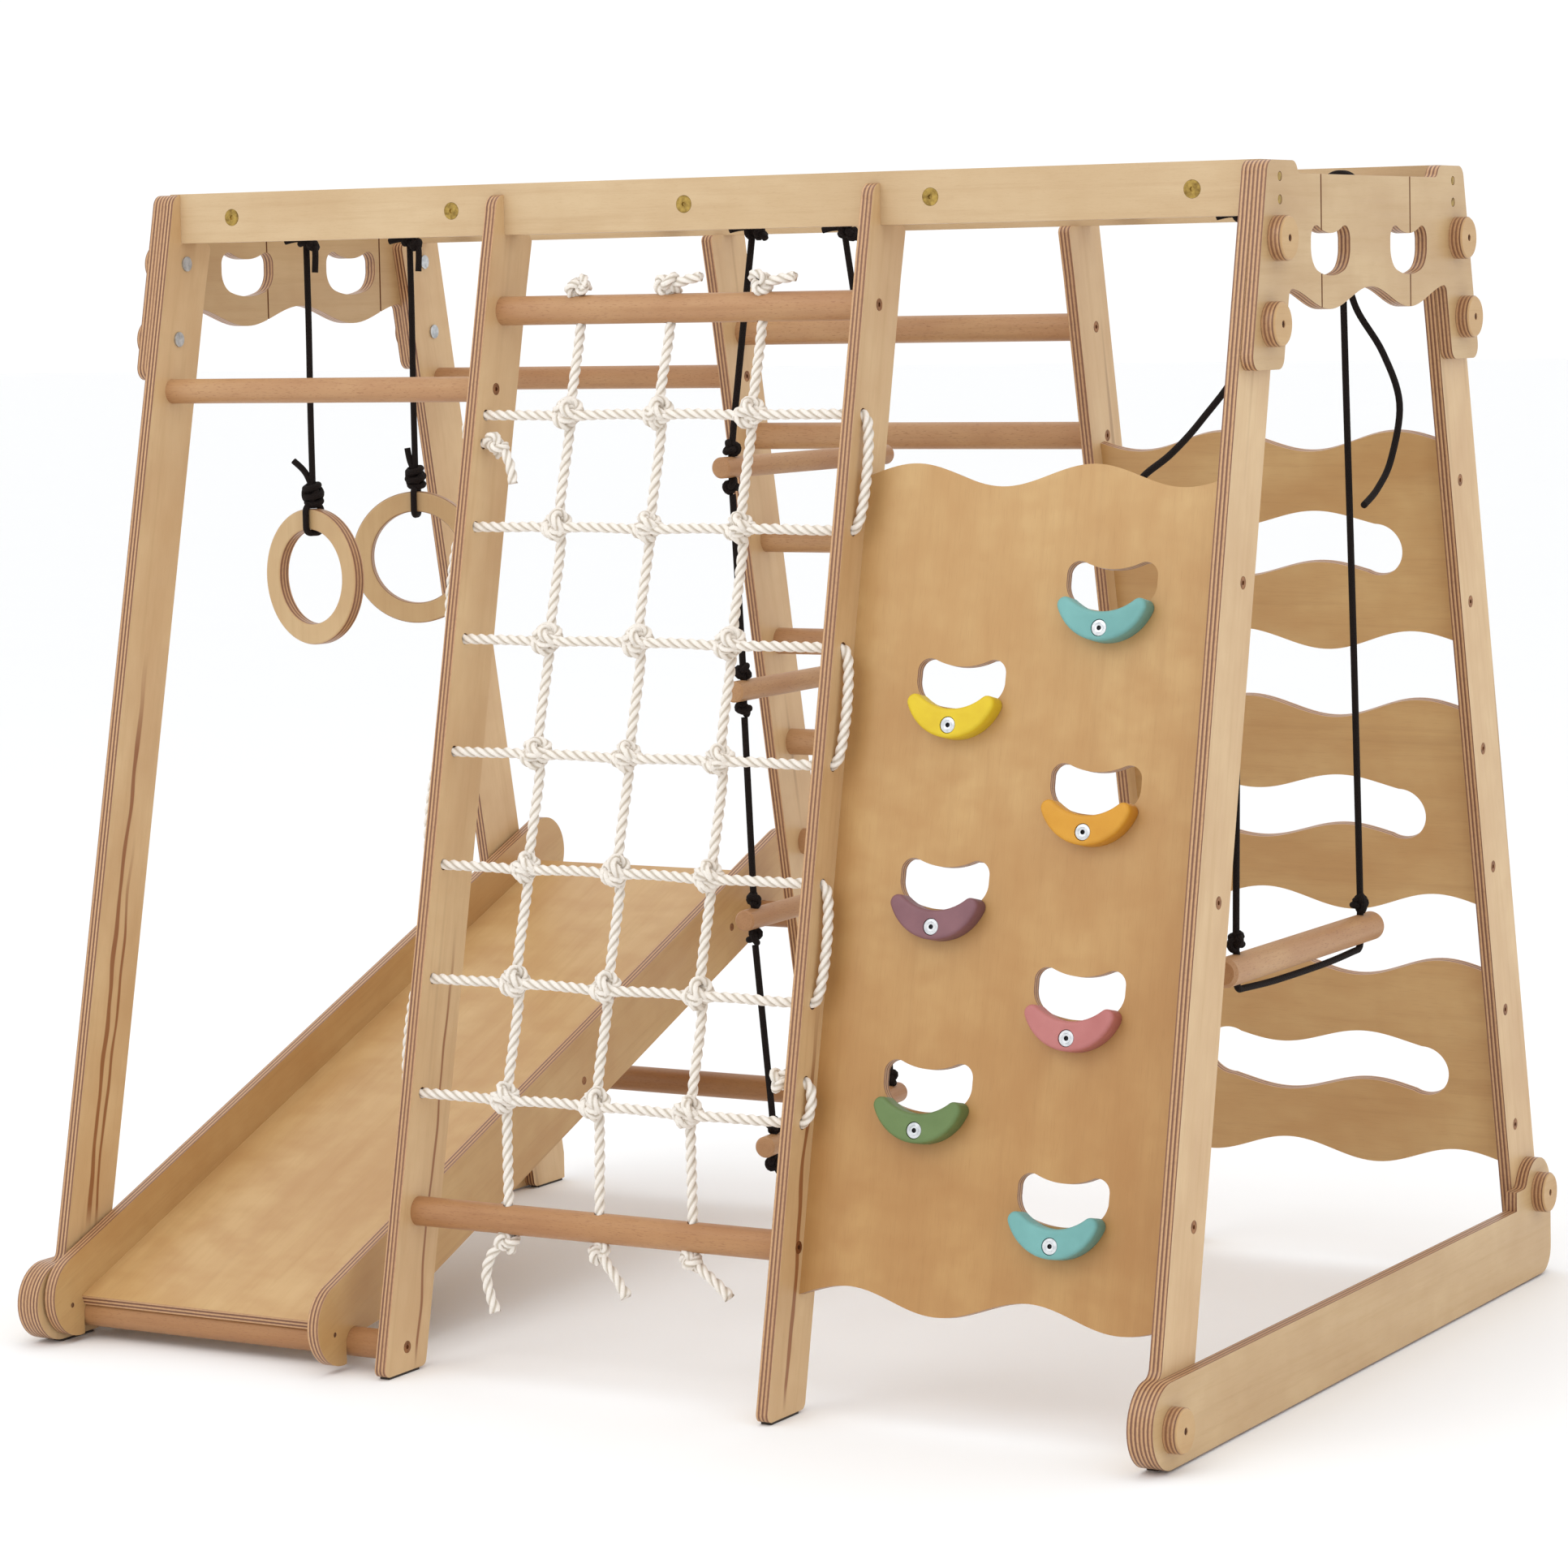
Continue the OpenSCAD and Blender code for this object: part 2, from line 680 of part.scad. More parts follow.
module slide_board(e) {
  color(warm_wood) place() difference() {
    slab_x(slide_x[e], ply) slide_outline();
    slide_screws_at(1);
  }
}

module slide_bed() {
  color(warm_wood) place() difference() {
    slab_x(slide_x[0] + ply, slide_x[1] - slide_x[0] - ply)
      translate(slide_p) rotate(slide_a)
        translate([2, bed_v - bed_t]) square([1102, bed_t]);
    slide_screws_at(1);
  }
}

// Pads under the eight legs
module foot_pads() {
  color([0.25, 0.2, 0.17]) place()
    for (i = [0 : 3], s = [-1, 1])
      translate([legs_x[i] - ply + 1, s < 0 ? -(out(-1, 0) - 12) : out(1, 0) - 72, 0])
        cube([ply - 2, 60, pad_t]);
}

// Net: the rows are one rope laced through the second and third legs
function row_y(z) = at_y(-1, z, rope_off);
left_x = leg2_x - ply - 9;
right_x = leg3_x + 9;
lace = concat(
  [[leg2_x + 22, row_y(start_z) + 6, start_z - 40], [leg2_x + 16, row_y(start_z), start_z],
   [leg2_x - 4, row_y(start_z), start_z], [leg2_x - ply - 2, row_y(start_z), start_z]],
  [[left_x - 1, row_y(1068), 1069], [left_x - 1, row_y(1084), 1084]],
  [for (k = [0 : net_rows_n - 1])
    let (z = row_z[k], y = row_y(z), fwd = k % 2 == 0)
    each (fwd
      ? [[leg2_x - ply - 2, y, z], [leg2_x - 4, y, z], [leg2_x + 60, y, z],
         for (j = [0 : 2]) [cross_x[j], y, z], [leg3_x - ply - 40, y, z],
         [leg3_x - ply + 3, y, z], [leg3_x + 3, y, z],
         each (k < net_rows_n - 1 ? [[right_x, row_y(z - 16), z - 16],
           [right_x, row_y(z - row_pitch / 2), z - row_pitch / 2],
           [right_x, row_y(z - row_pitch + 16), z - row_pitch + 16]] : [])]
      : [[leg3_x + 3, y, z], [leg3_x - ply + 3, y, z], [leg3_x - ply - 40, y, z],
         for (j = [2 : -1 : 0]) [cross_x[j], y, z], [leg2_x + 60, y, z],
         [leg2_x - 4, y, z], [leg2_x - ply - 2, y, z], [left_x, row_y(z - 16), z - 16],
         [left_x, row_y(z - row_pitch / 2), z - row_pitch / 2],
         [left_x, row_y(z - row_pitch + 16), z - row_pitch + 16]])],
  [[right_x, row_y(332), 332], [right_x, row_y(351), 351], [leg3_x + 3, row_y(finish_z), finish_z],
   [leg3_x - ply + 3, row_y(finish_z), finish_z], [leg3_x - ply - 22, row_y(finish_z), finish_z]]);

module net_rows() {
  color(white_rope) place() tube(lace, rope_d);
}

// Net uprights: from a knot on the top bar to a tail under the bottom bar
function upright(j) = concat(
  [[top_x[j] + 6, at_y(-1, net_top_z, bar_off) - 6, net_top_z + 44],
   [top_x[j], at_y(-1, net_top_z, bar_off), net_top_z + 28],
   [top_x[j], at_y(-1, net_top_z, bar_off), net_top_z],
   [top_x[j], at_y(-1, net_top_z, bar_off), net_top_z - 24]],
  [for (k = [0 : net_rows_n - 1]) [cross_x[j], row_y(row_z[k]) + rope_d * 0.9, row_z[k]]],
  [[low_x[j], at_y(-1, net_low_z, bar_off), net_low_z + 26],
   [low_x[j], at_y(-1, net_low_z, bar_off), net_low_z],
   [low_x[j], at_y(-1, net_low_z, bar_off), net_low_z - 26],
   [low_x[j] + 4, at_y(-1, net_low_z, bar_off) - 8, net_low_z - 50],
   [low_x[j] + 8, at_y(-1, net_low_z, bar_off) - 10, net_low_z - 80]]);

module net_uprights() {
  color(white_rope) place() for (j = [0 : 2]) tube(upright(j), rope_d);
}

// Knots: one at each crossing, and one at each end of every rope
module net_knots() {
  color(white_rope) place() {
    for (j = [0 : 2]) {
      for (z = row_z)
        translate([cross_x[j], row_y(z) + 3, z]) sphere(d = 30, $fn = 24);
      translate([top_x[j], at_y(-1, net_top_z, bar_off), net_top_z + 29]) sphere(d = 24, $fn = 24);
      translate([low_x[j], at_y(-1, net_low_z, bar_off), net_low_z - 29]) sphere(d = 24, $fn = 24);
    }
    translate([leg2_x + 13, row_y(start_z), start_z - 2]) sphere(d = 22, $fn = 24);
    translate([leg3_x - ply - 13, row_y(finish_z), finish_z]) sphere(d = 22, $fn = 24);
  }
}

// A loop of cord round an overhead bar
module bar_loop(x, y) {
  translate([x, y, monkey_z]) rotate([90, 0, 0])
    rotate_extrude($fn = 48) translate([bar_d / 2 + gap + cord_d / 2, 0]) circle(d = cord_d, $fn = 16);
}

module knot(p, r = knot_r) {
  translate(p) sphere(r = r, $fn = 24);
}

// Hanging rings and their cords
rim_round = 3;
rim_corner = [ring_t / 2 - rim_round, ring_rim / 2 - rim_round];
rim_loop_r = rim_round + gap + cord_d / 2;

module ring(k) {
  r = rings[k];
  color(beech) place()
    translate([monkey_x0, r[0], r[1]]) rotate([0, 0, r[2]]) rotate([90, 0, 0])
      rotate_extrude($fn = 96) translate([(ring_d - ring_rim) / 2, 0])
        rounded(rim_round) square([ring_rim, ring_t], center = true);
}

// The cord goes once round the ring's rim, under its knot
module rim_loop() {
  side_y = rim_corner[0] + rim_loop_r;
  side_z = rim_corner[1] + rim_loop_r;
  for (c = [[1, 1, 0], [-1, 1, 90], [-1, -1, 180], [1, -1, 270]])
    translate([0, c[0] * rim_corner[0], c[1] * rim_corner[1]])
      rotate([90, 0, 90]) rotate([0, 0, c[2]])
        rotate_extrude(angle = 90) translate([rim_loop_r, 0]) circle(d = cord_d, $fn = 16);
  for (e = [-1, 1]) {
    translate([0, e * side_y, -rim_corner[1]]) cylinder(h = 2 * rim_corner[1], d = cord_d, $fn = 16);
    translate([0, -rim_corner[0], e * side_z])
      rotate([-90, 0, 0]) cylinder(h = 2 * rim_corner[0], d = cord_d, $fn = 16);
  }
}

module ring_cord(k) {
  r = rings[k];
  rim_z = r[1] + (ring_d - ring_rim) / 2;
  knot_z = rim_z + ring_rim / 2 + 12;
  loop_z = monkey_z - bar_d / 2 - gap - cord_d;
  color(black_cord) place() {
    bar_loop(monkey_x0, r[0]);
    rod([monkey_x0, r[0], knot_z], [monkey_x0, r[0], loop_z + 2], cord_d);
    knot([monkey_x0, r[0], loop_z - 8]);
    knot([monkey_x0, r[0], knot_z]);
    translate([monkey_x0, r[0], rim_z]) rotate([0, 0, r[2]]) rim_loop();
  }
}

// Rope ladder: each rung with the cords above it
function rung_end(k, e) =
  [rungs[k][0] - e * ladder_half * sin(rungs[k][2]), e * ladder_half * cos(rungs[k][2]), rungs[k][1]];

module ladder_rung(k) {
  r = rungs[k];
  color(beech) place() difference() {
    translate([r[0], 0, r[1]]) rotate([0, 0, r[2]]) rotate([90, 0, 0])
      translate([0, 0, -rung_len / 2]) {
        translate([0, 0, 2]) cylinder(h = rung_len - 4, d = rung_d);
        cylinder(h = 2, d1 = rung_d - 4, d2 = rung_d);
        translate([0, 0, rung_len - 2]) cylinder(h = 2, d1 = rung_d, d2 = rung_d - 4);
      }
    for (e = [-1, 1]) translate(rung_end(k, e) - [0, 0, rung_d]) cylinder(h = 2 * rung_d, d = cord_d + 1);
  }
}

module ladder_cords(k) {
  color(black_cord) place()
    for (e = [-1, 1]) {
      b = rung_end(k, e);
      if (k == 0) {
        a = [ladder_x, e * ladder_top, monkey_z - bar_d / 2 - gap - cord_d + 2];
        bar_loop(ladder_x, e * ladder_top);
        knot(a - [0, 0, 9]);
        rod(b + [0, 0, knot_drop], a - [0, 0, 4], cord_d);
      } else {
        a = rung_end(k - 1, e) - [0, 0, knot_drop];
        rod(b + [0, 0, knot_drop], a + (knot_r + 0.6) * unit(b - a), cord_d);
      }
      rod(b - [0, 0, knot_drop], b + [0, 0, knot_drop], cord_d);
      knot(b + [0, 0, knot_drop]);
      knot(b - [0, 0, knot_drop]);
    }
}

// Trapeze: one cord down, through the bar, under it and up again
module trapeze_bar() {
  color(beech) place() difference() {
    translate([trapeze_x, -trapeze_len / 2, trapeze_z]) rotate([-90, 0, 0]) {
      translate([0, 0, 4]) cylinder(h = trapeze_len - 8, d = bar_d);
      cylinder(h = 4, d1 = bar_d - 8, d2 = bar_d);
      translate([0, 0, trapeze_len - 4]) cylinder(h = 4, d1 = bar_d, d2 = bar_d - 8);
    }
    for (e = [-1, 1])
      translate([trapeze_x, e * trapeze_half, trapeze_z - bar_d]) cylinder(h = 2 * bar_d, d = cord_d + 1);
  }
}

trapeze_loop_z = monkey_z - bar_d / 2 - gap - cord_d + 2;
trapeze_under = trapeze_z - bar_d / 2 - cord_d / 2 - 2;
trapeze_half_route = [[0, trapeze_top, trapeze_loop_z], [0, 150, 1100], [0, 165, 800],
  [0, trapeze_half, 520], [0, trapeze_half, trapeze_z + 18], [0, trapeze_half, trapeze_z],
  [0, trapeze_half, trapeze_z - 16], [0, trapeze_half - 6, trapeze_under],
  [0, trapeze_half - 20, trapeze_under - 1], [0, 70, trapeze_under - 4]];
trapeze_route = concat(
  [for (p = trapeze_half_route) [trapeze_x, -p[1], p[2]]],
  [for (k = [len(trapeze_half_route) - 1 : -1 : 0])
    [trapeze_x, trapeze_half_route[k][1], trapeze_half_route[k][2]]]);

module trapeze_cord() {
  color(black_cord) place() {
    for (e = [-1, 1]) {
      bar_loop(trapeze_x, e * trapeze_top);
      knot([trapeze_x, e * trapeze_top, trapeze_loop_z - 9], 10);
      knot([trapeze_x, e * trapeze_half, trapeze_z + 26], 10);
    }
    tube(smooth(trapeze_route, 3), cord_d);
  }
}

// The loose ends of the trapeze cord
front_tail = [[644, -142, 1300], [632, -150, 1260], [624, -150, 1200], [622, -147, 1137],
  [612, -175, 1080], [596, -220, 1045], [582, -262, 1022], [574, -280, 1000]];
back_tail = [[650, 142, 1300], [658, 148, 1250], [668, 150, 1200], [688, 167, 1147],
  [692, 202, 1087], [690, 180, 1023], [690, 138, 990], [690, 97, 973]];

module trapeze_tails() {
  color(black_cord) place() {
    tube(smooth(front_tail, 4), cord_d);
    tube(smooth(back_tail, 4), cord_d);
  }
}

teal = [0.44, 0.71, 0.67];
yellow = [0.89, 0.76, 0.14];
orange = [0.90, 0.64, 0.23];
mauve = [0.56, 0.39, 0.44];
pink = [0.80, 0.48, 0.48];
green = [0.43, 0.58, 0.36];

leg(-1, 0);  // leg_front_1
leg(-1, 1);  // leg_front_2
leg(-1, 2);  // leg_front_3
leg(-1, 3);  // leg_front_4
leg(1, 0);  // leg_back_1
leg(1, 1);  // leg_back_2
leg(1, 2);  // leg_back_3
leg(1, 3);  // leg_back_4
beam(-1);  // beam_front
beam(1);  // beam_back
yoke(-1);  // yoke_left
yoke(1);  // yoke_right
rail(-1);  // rail_left
rail(1);  // rail_right
monkey_bars();
net_bar(net_top_z, top_x);  // net_bar_top
net_bar(net_low_z, low_x);  // net_bar_bottom
grab_bars();
low_bar_front();
slide_back_bars();
wall_rungs();
climbing_panel();
wavy_board(wavy_mid[0]);  // wavy_board_top
wavy_board(wavy_mid[1]);  // wavy_board_middle
wavy_board(wavy_mid[2]);  // wavy_board_bottom
union() {  // holds_teal
  hold(0, teal);
  hold(6, teal);
}
hold(1, yellow);  // hold_yellow
hold(2, orange);  // hold_orange
hold(3, mauve);  // hold_mauve
hold(4, pink);  // hold_pink
hold(5, green);  // hold_green
hold_bolts();
knobs();
knob_bolts();
bar_bolts();
beam_bolts();
yoke_screws();
slide_screws();
foot_pads();
net_rows();
net_uprights();
net_knots();
slide_board(0);  // slide_board_left
slide_board(1);  // slide_board_right
slide_bed();
ring(0);  // ring_front
ring(1);  // ring_back
ring_cord(0);  // ring_front_cord
ring_cord(1);  // ring_back_cord
trapeze_bar();
trapeze_cord();
trapeze_tails();
ladder_rung(0);  // ladder_rung_1
ladder_rung(1);  // ladder_rung_2
ladder_rung(2);  // ladder_rung_3
ladder_rung(3);  // ladder_rung_4
ladder_cords(0);  // ladder_cords_1
ladder_cords(1);  // ladder_cords_2
ladder_cords(2);  // ladder_cords_3
ladder_cords(3);  // ladder_cords_4
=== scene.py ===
"""Looks of an indoor wooden climbing frame: laced rope net, knots, cords, holds and materials.

Everything is in metres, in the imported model's frame.
"""

import math

import bmesh
import bpy
import numpy as np
from mathutils import Matrix, Vector
from mathutils.geometry import tessellate_polygon


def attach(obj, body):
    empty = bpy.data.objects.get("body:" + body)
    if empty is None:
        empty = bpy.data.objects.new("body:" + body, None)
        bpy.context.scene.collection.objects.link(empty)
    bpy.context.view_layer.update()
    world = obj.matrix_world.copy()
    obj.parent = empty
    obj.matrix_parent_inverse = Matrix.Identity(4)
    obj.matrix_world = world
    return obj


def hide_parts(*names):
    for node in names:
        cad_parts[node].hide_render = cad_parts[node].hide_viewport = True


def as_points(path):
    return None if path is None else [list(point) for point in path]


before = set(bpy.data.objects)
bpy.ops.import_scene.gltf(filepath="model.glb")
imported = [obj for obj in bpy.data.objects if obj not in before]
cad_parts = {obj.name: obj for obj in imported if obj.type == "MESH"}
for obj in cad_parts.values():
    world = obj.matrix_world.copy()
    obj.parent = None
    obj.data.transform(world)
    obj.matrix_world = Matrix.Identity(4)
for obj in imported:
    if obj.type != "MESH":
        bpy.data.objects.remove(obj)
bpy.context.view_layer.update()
TAU = 2 * math.pi
RNG = np.random.default_rng(7)

# ---------------------------------------------------------------- camera
CAMERA_AT = (2.8042, -4.908, 1.2349)
CAMERA_TURN = 29.83
CAMERA_TILT = 4.37
CAMERA_ROLL = -1.10
CAMERA_LENS = 108.3
CAMERA_SHIFT = -0.0865


def make_camera():
    """The camera: turned, tilted and rolled about its place."""
    turn, tilt, roll = (math.radians(a) for a in (CAMERA_TURN, CAMERA_TILT, CAMERA_ROLL))
    ahead = Vector((-math.sin(turn) * math.cos(tilt), math.cos(turn) * math.cos(tilt), -math.sin(tilt)))
    right = Vector((math.cos(turn), math.sin(turn), 0))
    up = right.cross(ahead)
    x = math.cos(roll) * right + math.sin(roll) * up
    y = -math.sin(roll) * right + math.cos(roll) * up
    data = bpy.data.cameras.new("camera")
    data.lens = CAMERA_LENS
    data.sensor_width = 36
    data.shift_y = CAMERA_SHIFT
    camera = bpy.data.objects.new("camera", data)
    camera.matrix_world = Matrix.Translation(CAMERA_AT) @ Matrix((x, y, -ahead)).transposed().to_4x4()
    bpy.context.scene.collection.objects.link(camera)
    bpy.context.scene.camera = camera


make_camera()

# ---------------------------------------------------------------- the frame's own measures
Y_SHIFT = 0.028
FRAME_H = 1.363
TOP_HALF = 0.280
LEAN_FRONT = math.radians(12.2)
LEAN_BACK = math.radians(11.6)
SLIDE_SLOPE = math.radians(21.5)
PLY = 0.015
LEG2_X = -0.240
LEG3_X = 0.263
BAR_OFF = 0.038
ROPE_OFF = 0.022
BOARD_OFF = 0.054
CORD_D = 0.008
BAR_R = 0.017
MONKEY_Z = 1.333
GAP = 0.0003


def front_y(z, off):
    return off - TOP_HALF - (FRAME_H - z) * math.tan(LEAN_FRONT) + Y_SHIFT


def row_y(z):
    return front_y(z, ROPE_OFF)


# ---------------------------------------------------------------- mesh helpers
def new_object(name, verts, faces, uvs=None, smooth=True):
    mesh = bpy.data.meshes.new(name)
    mesh.from_pydata([tuple(v) for v in verts], [], faces)
    if uvs is not None:
        layer = mesh.uv_layers.new(name="along")
        layer.data.foreach_set("uv", np.asarray(uvs, dtype=float).ravel())
    mesh.polygons.foreach_set("use_smooth", [smooth] * len(mesh.polygons))
    mesh.update()
    thing = bpy.data.objects.new(name, mesh)
    bpy.context.scene.collection.objects.link(thing)
    return thing


ROUNDING_PASSES = 3


def rounded_path(points):
    """Cuts the corners of a line of points, keeping its two ends."""
    p = np.asarray(points, dtype=float)
    for _ in range(ROUNDING_PASSES):
        a = p[:-1] * 0.75 + p[1:] * 0.25
        b = p[:-1] * 0.25 + p[1:] * 0.75
        mid = np.empty((2 * len(a), 3))
        mid[0::2] = a
        mid[1::2] = b
        p = np.vstack([p[:1], mid[1:-1], p[-1:]])
    return p


def evenly(points, step):
    p = np.asarray(points, dtype=float)
    s = np.concatenate([[0], np.cumsum(np.linalg.norm(np.diff(p, axis=0), axis=1))])
    n = max(3, int(round(s[-1] / step)) + 1)
    at = np.linspace(0, s[-1], n)
    return np.column_stack([np.interp(at, s, p[:, k]) for k in range(3)]), s[-1]


def transported(p, closed=False):
    """Unit tangents, and normals that don't twist, along a line of points."""
    ahead = np.roll(p, -1, axis=0) if closed else np.vstack([p[1:], p[-1:]])
    back = np.roll(p, 1, axis=0) if closed else np.vstack([p[:1], p[:-1]])
    t = ahead - back
    t /= np.linalg.norm(t, axis=1)[:, None]
    n = np.empty_like(p)
    r = np.array([0.31, 0.9, 0.3])
    for i, d in enumerate(t):
        r = r - r.dot(d) * d
        r /= np.linalg.norm(r)
        n[i] = r
    return t, n


def lobes(angle, strands, groove):
    """How far a rope's surface lies from its middle, for a rope of radius 1."""
    a = np.mod(angle + math.pi / strands, TAU / strands) - math.pi / strands
    small = 1 / (1 + 1 / math.sin(math.pi / strands))
    far = 1 - small
    inside = np.clip(small**2 - (far * np.sin(a)) ** 2, 0, None)
    return np.maximum(far * np.cos(a) + np.sqrt(inside), groove)


ROPE_LAY = 3.2  # length of one full twist, in diameters
ROPE_GROOVE = 0.66  # depth that the grooves are filled to, of the radius


def tube(points, d, sides=16, strands=0, closed=False, step=None, swell=0.0):
    """Vertices, faces and UVs of a rope: u runs along it in diameters, v once round it."""
    step = step or d * 0.24
    if closed:
        points = np.vstack([points, points[:1]])
    p, length = evenly(points, step)
    if closed:
        p = p[:-1]
    t, n = transported(p, closed)
    b = np.cross(t, n)
    m = len(p)
    s = np.arange(m) / (m - 1) * length
    phi = np.arange(sides) / sides * TAU
    r = np.full((m, sides), d / 2)
    if strands:
        r *= lobes(phi[None, :] - TAU * s[:, None] / (ROPE_LAY * d), strands, ROPE_GROOVE)
    if swell:
        r *= 1 + swell * np.clip(1 - (length - s) / d, 0, 1)[:, None]
    v = p[:, None, :] + r[:, :, None] * (
        np.cos(phi)[None, :, None] * n[:, None, :] + np.sin(phi)[None, :, None] * b[:, None, :]
    )
    faces, uvs = [], []
    last = m if closed else m - 1
    for i in range(last):
        i2 = (i + 1) % m
        u0, u1 = s[i] / d, (s[i] + length / (m - 1)) / d
        for k in range(sides):
            k2 = (k + 1) % sides
            faces.append((i * sides + k, i2 * sides + k, i2 * sides + k2, i * sides + k2))
            v0, v1 = k / sides, (k + 1) / sides
            uvs += [(u0, v0), (u1, v0), (u1, v1), (u0, v1)]
    if not closed:
        faces.append(tuple(range(sides)))
        faces.append(tuple((m - 1) * sides + k for k in reversed(range(sides))))
        uvs += [(0.2 * math.cos(a), 0.2 * math.sin(a)) for a in phi] * 2
    return v.reshape(-1, 3), faces, uvs, p


def joined(name, parts):
    """One object from several (vertices, faces, UVs)."""
    verts, faces, uvs, base = [], [], [], 0
    for v, f, uv, *_ in parts:
        verts.append(v)
        faces += [tuple(base + k for k in face) for face in f]
        uvs += uv
        base += len(v)
    return new_object(name, np.vstack(verts), faces, uvs)


def knot_line(at, size, turn):
    """A closed three-lobed knot about a point, size across."""
    t = np.linspace(0, TAU, 90, endpoint=False)
    p = np.column_stack([
        np.sin(t) + 2 * np.sin(2 * t),
        np.cos(t) - 2 * np.cos(2 * t),
        -1.5 * np.sin(3 * t),
    ])
    spin = np.array(turn.to_matrix())
    return np.asarray(at) + (p * size / 6) @ spin.T


def any_turn():
    v = Vector(RNG.normal(size=3)).normalized()
    return Matrix.Rotation(float(RNG.uniform(0, TAU)), 3, v).to_quaternion()


def rope_knot(at, across, d, strands=3):
    line = knot_line(at, across - d, any_turn())
    return tube(line, d, sides=12, strands=strands, closed=True, step=d * 0.3)


KNOT_TILT = math.radians(12)


def wound_knot(at, across, high, turns, d, axis=None, strands=0):
    """A knot with turns of cord wound round its middle, and one crossing over them."""
    loops = []
    spin = Matrix.Rotation(KNOT_TILT, 3, "X") @ Matrix.Rotation(float(RNG.uniform(0, TAU)), 3, "Z")
    if axis is not None:
        spin = Vector(axis).to_track_quat("Z", "Y").to_matrix() @ spin
    spin = np.array(spin)
    t = np.linspace(0, TAU, 40, endpoint=False)
    pitch = (high - d) / (turns - 1)
    for k in range(turns):
        up = (k - (turns - 1) / 2) * pitch
        bulge = 1 - 0.16 * (2 * up / (high - d)) ** 2
        r = (across - d) / 2 * bulge
        p = np.column_stack([r * np.cos(t), r * np.sin(t), up + 0.16 * d * np.sin(t + k)])
        loops.append(np.asarray(at) + p @ spin.T)
    over = np.column_stack([(across - d) / 2 * 1.02 * np.cos(t), 0.30 * across * np.sin(t) * np.sin(t),
                            (high - d) / 2 * 1.05 * np.sin(t)])
    loops.append(np.asarray(at) + over @ spin.T)
    loops.append(knot_line(at, across * 0.62, Matrix(spin).to_quaternion()))
    return [tube(loop, d, sides=12, strands=strands, closed=True, step=d * 0.3) for loop in loops]


# ---------------------------------------------------------------- net
NET_TOP_Z = 1.214
NET_LOW_Z = 0.184
ROWS = [1.093 - 0.129 * k for k in range(7)]
TOP_X, CROSS_X, LOW_X = ([mid + 0.122 * k for k in (-1, 0, 1)] for mid in (-0.011, -0.008, 0.006))
START_Z = 1.060
FINISH_Z = 0.364
LEFT_X = LEG2_X - PLY - 0.009
RIGHT_X = LEG3_X + 0.009


def lace_points():
    """The row rope: in at the second leg, back and forth down the rows, tied off at the third leg."""
    y = row_y(START_Z)
    pts = [
        (LEG2_X + 0.044, y - 0.006, START_Z - 0.046),
        (LEG2_X + 0.038, y - 0.004, START_Z - 0.018),
        (LEG2_X + 0.020, y, START_Z + 0.002),
        (LEG2_X - 0.004, y, START_Z),
        (LEG2_X - PLY - 0.002, y, START_Z),
        (LEFT_X - 0.001, row_y(1.068), 1.069),
        (LEFT_X - 0.001, row_y(1.084), 1.084),
    ]
    for k, z in enumerate(ROWS):
        y = row_y(z)
        across = [(LEG2_X - PLY - 0.002, y, z), (LEG2_X - 0.004, y, z), (LEG2_X + 0.060, y, z)]
        for j, x in enumerate(CROSS_X):
            dip = 0.0015 * ((k + j) % 2)
            across += [(x - 0.03, y, z + dip), (x, y - 0.001, z - 0.002), (x + 0.03, y, z + dip)]
        across += [(LEG3_X - PLY - 0.04, y, z), (LEG3_X - PLY + 0.003, y, z), (LEG3_X + 0.003, y, z)]
        if k % 2:
            across.reverse()
        pts += across
        if k + 1 < len(ROWS):
            x, bow = (LEFT_X, -0.003) if k % 2 else (RIGHT_X, 0.003)
            below = ROWS[k + 1]
            pts += [(x, row_y(z - 0.016), z - 0.016), (x + bow, row_y((z + below) / 2), (z + below) / 2),
                    (x, row_y(below + 0.016), below + 0.016)]
    y = row_y(FINISH_Z)
    pts += [(RIGHT_X, row_y(0.332), 0.332), (RIGHT_X, row_y(0.351), 0.351), (LEG3_X + 0.003, y, FINISH_Z),
            (LEG3_X - PLY + 0.003, y, FINISH_Z), (LEG3_X - PLY - 0.022, y, FINISH_Z)]
    return pts


ROPE_DRAWN = 0.0127  # across the tops of the strands


def rope_object(name, curve, d, body, slot, node, **more):
    """A rope or cord along a curve, with its centre line and its real length."""
    parts = tube(curve, d, **more)
    line = parts[3]
    thing = joined(name, [parts])
    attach(thing, body)
    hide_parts(node)
    return thing, line, float(np.linalg.norm(np.diff(line, axis=0), axis=1).sum())


def declare(thing, line, length):
    """Works out every fourth point of a cord's centre line, and keeps none of it."""
    tuple(line[0])
    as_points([tuple(p) for p in line[::4]] + [tuple(line[-1])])


TOP_TAILS = [[(0.014, -0.010, 0.030)], [(0.046, -0.006, 0.036), (0.022, -0.006, 0.032)],
             [(0.048, -0.006, 0.034), (0.022, -0.006, 0.031)]]
LOW_TAILS = [[(-0.018, -0.010, -0.036), (-0.028, -0.012, -0.066), (-0.013, -0.012, -0.106)],
             [(0.012, -0.010, -0.036), (0.028, -0.012, -0.052), (0.042, -0.014, -0.072)],
             [(0.016, -0.010, -0.034), (0.036, -0.012, -0.046), (0.054, -0.014, -0.060)]]


UPRIGHT_BEHIND = 0.0108  # how far the uprights run behind the rows
UPRIGHT_SWAY = 0.0015


